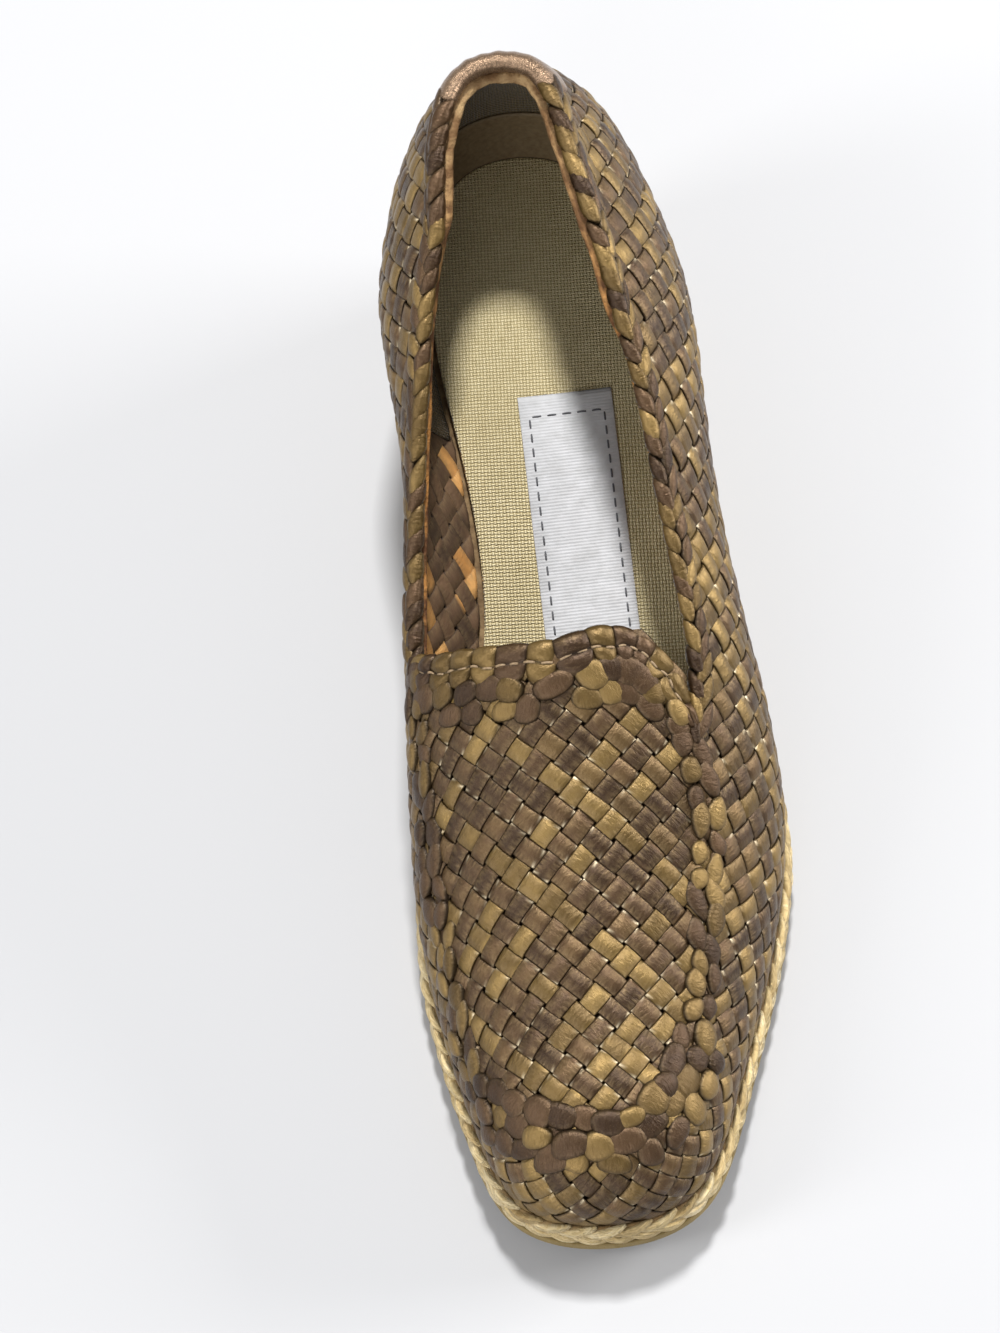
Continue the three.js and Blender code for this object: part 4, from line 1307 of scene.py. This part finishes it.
fold = Pieces()
fold_count = round(throat_length / fold_cell)
fold_widths = fold_cell * (0.72 + 0.56 * chance.random(fold_count))
fold_ends = np.cumsum(fold_widths) * throat_length / fold_widths.sum()
for k, (stop, width) in enumerate(zip(fold_ends, np.diff(fold_ends, prepend=0))):
    wild = chance.random(5)
    across = np.linspace(-0.5, 0.5, 11) * fold_overlap
    run = np.clip(stop + (across - 0.5) * width, 0.2, throat_length - 0.2)[:, None]
    deep, high = fold_profile[None, :, 0], fold_profile[None, :, 1]
    crown = np.clip(1 - np.abs(2 * across / fold_overlap) ** 2.3, 0, 1)[:, None]
    lean = 2.6 * (wild[0] - 0.5) * across[:, None]
    tab = (2.0 + 2.4 * wild[1]) * (crown ** 0.6 - 0.6) + lean
    depth = deep + np.where(deep > 2.4, stitch_sway(run), 0) + tab * np.clip((deep - 3.4) / 3, 0, 1)
    depth = np.where(deep > 0, depth * throat_taper(run), depth - 0.5 * (crown - 0.5))
    out = np.where(high > 0, high * (0.30 + (0.80 + 0.45 * wild[2]) * crown ** 0.7), high) + 0.15 * (k % 2)
    # Painted shade: darker between neighbouring folds, in the stitch groove and on the undersides.
    stitch_groove_shading = 0.8 * (np.abs(deep - 3.2) < 0.1)
    crevice = np.interp(crown, [0, 0.1, 0.5], [1, 0.9, 0]) + stitch_groove_shading + (high < -0.4)
    fold.add(beside_throat(run, depth, out), tone=float(wild[3] > 0.5) * 0.9, age=float(wild[4]),
             rim=((deep > 5.8) | (np.abs(deep) < 0.5)) * 0.6, crevice=np.clip(crevice, 0, 1),
             grain=grain_at(0.4 * run, depth, 11 * k))
fold.build("throat_fold", leather_material, "woven_leather")

brown_material = mottled_finish(
    "waxed_brown_thread", (2500, 2), (0, 1), [(0.08, 0.045, 0.02), (0.42, 0.30, 0.17)], 0.5, 0.0001, 0.4)
throat_stitches = Pieces()
stitch_step = 3.4
for k in range(1, int(throat_length / stitch_step) - 1):
    run = np.array([k, k + 0.66]) * stitch_step
    ends = beside_throat(run, (3.2 + stitch_sway(run)) * throat_taper(run), 1.0)
    throat_stitches.add(thread_dash(ends[0], ends[1], 0.3))
throat_stitches.build("throat_stitches", brown_material, "woven_leather")

throat_plates = Pieces()
plate_step = 6.6
for row, (depth, length, width) in enumerate(((8.3, 8.4, 6.6), (13.2, 7.6, 6.2))):
    for k in range(int(throat_length / plate_step)):
        wild = chance.random(6)
        run = (k + 0.5 + 0.5 * row + 0.25 * (wild[0] - 0.5)) * plate_step
        at = int(run / 0.7)
        if at >= len(throat_even) or (row == 1 and wild[1] > 0.5):
            continue
        place = throat_even[at] + throat_in[at] * (depth * float(throat_taper(run)) + 0.8 * (wild[1] - 0.5))
        if not on_vamp(np.array([place[0]]), np.array([place[1]]))[0]:
            continue
        angle = math.atan2(throat_ahead[at, 1], throat_ahead[at, 0]) + 0.7 * (wild[2] - 0.5)
        add_plate(throat_plates, vamp, place[0], place[1], angle, length * (0.8 + 0.4 * wild[3]),
                  width * (0.82 + 0.3 * wild[4]), 1.9 - 0.3 * row + 0.4 * wild[1], -0.35,
                  float(wild[5] > 0.5) * 0.9, point=2.3, lump=0.07)
throat_plates.build("throat_plates", leather_material, "woven_leather")

# Heel binding: a strip of smooth bronze leather rolled over the back of the collar and stitched
# down on both faces, slightly creased where it bends.
binding_runs = side_runs(binding_share, binding_share, 0.6)
binding_profile = [
    (8.6, 0.3), (8.8, 0.9), (8.0, 1.3), (5.0, 1.45), (2.0, 1.6), (0.6, 1.5), (-0.6, 1.15), (-1.5, 0.4),
    (-1.85, -0.6), (-1.6, -1.6), (-0.8, -2.4), (0.3, -2.85), (1.3, -2.95), (2.2, -2.75), (2.5, -2.3),
    (2.2, -1.6), (3.0, -0.9)]
binding_tops = wall_top(binding_runs)
creases = 0.10 * np.sin(binding_runs / 1.3) * np.sin(binding_runs / 5.1 + 1)
creases = creases + 0.06 * np.sin(binding_runs / 0.9)
end_round, fold_middle = 2.5, (2.5, -0.6)
to_end = np.minimum(binding_runs - binding_runs[0], binding_runs[-1] - binding_runs)
fullness = np.sqrt(np.clip(1 - (1 - to_end / end_round).clip(0, 1) ** 2, 0.05, 1))
rings = []
for drop_here, out_here in binding_profile:
    soft = creases * (1 if out_here > -1 and drop_here < 7 else 0.4)
    below = fold_middle[0] + (drop_here - fold_middle[0]) * (0.8 + 0.2 * fullness)
    off = fold_middle[1] + (out_here - fold_middle[1]) * fullness
    rings.append(wall.at(binding_runs, binding_tops - below, off + soft * np.sign(out_here + 0.6)))
binding = Pieces()
binding_across = [d * (1 if o > -0.6 else -1) for d, o in binding_profile]
# Painted shade along both edges of the roll, where it meets the wall.
binding_edge_shading = [1, 0.7, 0, 0, 0, 0, 0, 0, 0, 0, 0, 0, 0, 0.6, 1, 1, 1]
binding.add(np.stack(rings, 1), tone=0.12, age=0.6, crevice=binding_edge_shading,
            grain=grain_at(binding_runs[:, None], binding_across, 3))
bronze_shades = [(0.16, 0.10, 0.064), (0.31, 0.21, 0.14)]
binding_material = leather_finish(
    "smooth_bronze_leather", bronze_shades, gold_shades, roughness=0.22, metal=0.75)
binding_piece = binding.build("heel_binding_leather", binding_material, "bronze_leather")
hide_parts("heel_binding")

# Foxing: a flat plait of jute in two rows of slanting strands that meet in a groove, sewn round
# the sole edge over the foot of the upper. Its upper row rolls over the top edge.
plait_count = 99                      # strands in each row
plait_pitch = edge_length / plait_count
strand_run, strand_rise = 9.4, 3.7    # how far a strand reaches along the plait and up it
strand_half_width, strand_half_depth = 1.15, 1.15
plait_material = jute_finish("plaited_jute", [(0.34, 0.22, 0.08), (0.72, 0.55, 0.27), (0.90, 0.79, 0.55)])
# The second jute is a darker copy: painted shade, used on the band behind the plait.
shaded_jute = jute_finish("shaded_jute", [(0.10, 0.055, 0.018), (0.22, 0.13, 0.045), (0.34, 0.22, 0.09)])


def on_edge(run, out, up):
    """Points beside the sole edge: how far round, how far off the edge and how far above the plait's foot."""
    edge = sole_edge(place_after(run), out)
    return np.concatenate([edge, (braid_foot(edge[..., 1]) + up)[..., None]], -1)


plait = Pieces()
share = np.linspace(0, 1, 12)
turns = np.linspace(0, 2 * math.pi, 10, endpoint=False)
for row in (1, -1):
    for k in range(plait_count):
        wild = chance.random(4)
        begin = (k + (0.0 if row > 0 else 0.5) + 0.10 * (wild[0] - 0.5)) * plait_pitch
        run = begin - strand_run * share
        up = braid_height / 2 + row * (-0.3 + strand_rise * share ** 0.8) + 0.2 * (wild[1] - 0.5)
        out = clearance + 0.15 + 1.45 * np.sin(math.pi * (0.10 + 0.74 * share)) - 0.5 * share * (row > 0)
        swell = np.sin(math.pi * (0.07 + 0.88 * share)) ** 0.55 * (0.92 + 0.18 * wild[2])
        slope = -row * math.atan2(strand_rise, strand_run)
        flute = 1 + 0.10 * np.cos(4 * turns + k)[None]
        side = (strand_half_width * swell)[:, None] * np.cos(turns)[None] * flute
        rise = (strand_half_depth * swell)[:, None] * np.sin(turns)[None] * flute
        rings = on_edge(run[:, None] - side * math.sin(slope), out[:, None] + rise,
                        up[:, None] + side * math.cos(slope))
        grain = grain_at(share[:, None] * strand_run, side, k * 1.7 + row * 90)
        plait.add(rings, tone=0.15 + 0.55 * wild[3] - 0.12 * row, grain=grain)
plait_piece = plait.build("plaited_foxing", plait_material, "jute_braid")
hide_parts("foxing_braid")

# A band of the darker jute behind the plait: painted shade that shows in the gaps between the strands.
plait_back = Pieces()
runs = np.arange(0, edge_length, 1.0)
band = [(clearance, 0.8), (1.0, 0.8), (1.0, braid_height - 1.0), (clearance, braid_height - 0.6)]
rings = np.stack([on_edge(runs, out, up) for out, up in band], 1)
plait_back.add(rings, looped=True, tone=0.1, grain=grain_at(runs[:, None], 0, 0))
plait_back.build("foxing_backing", shaded_jute, "jute_braid")
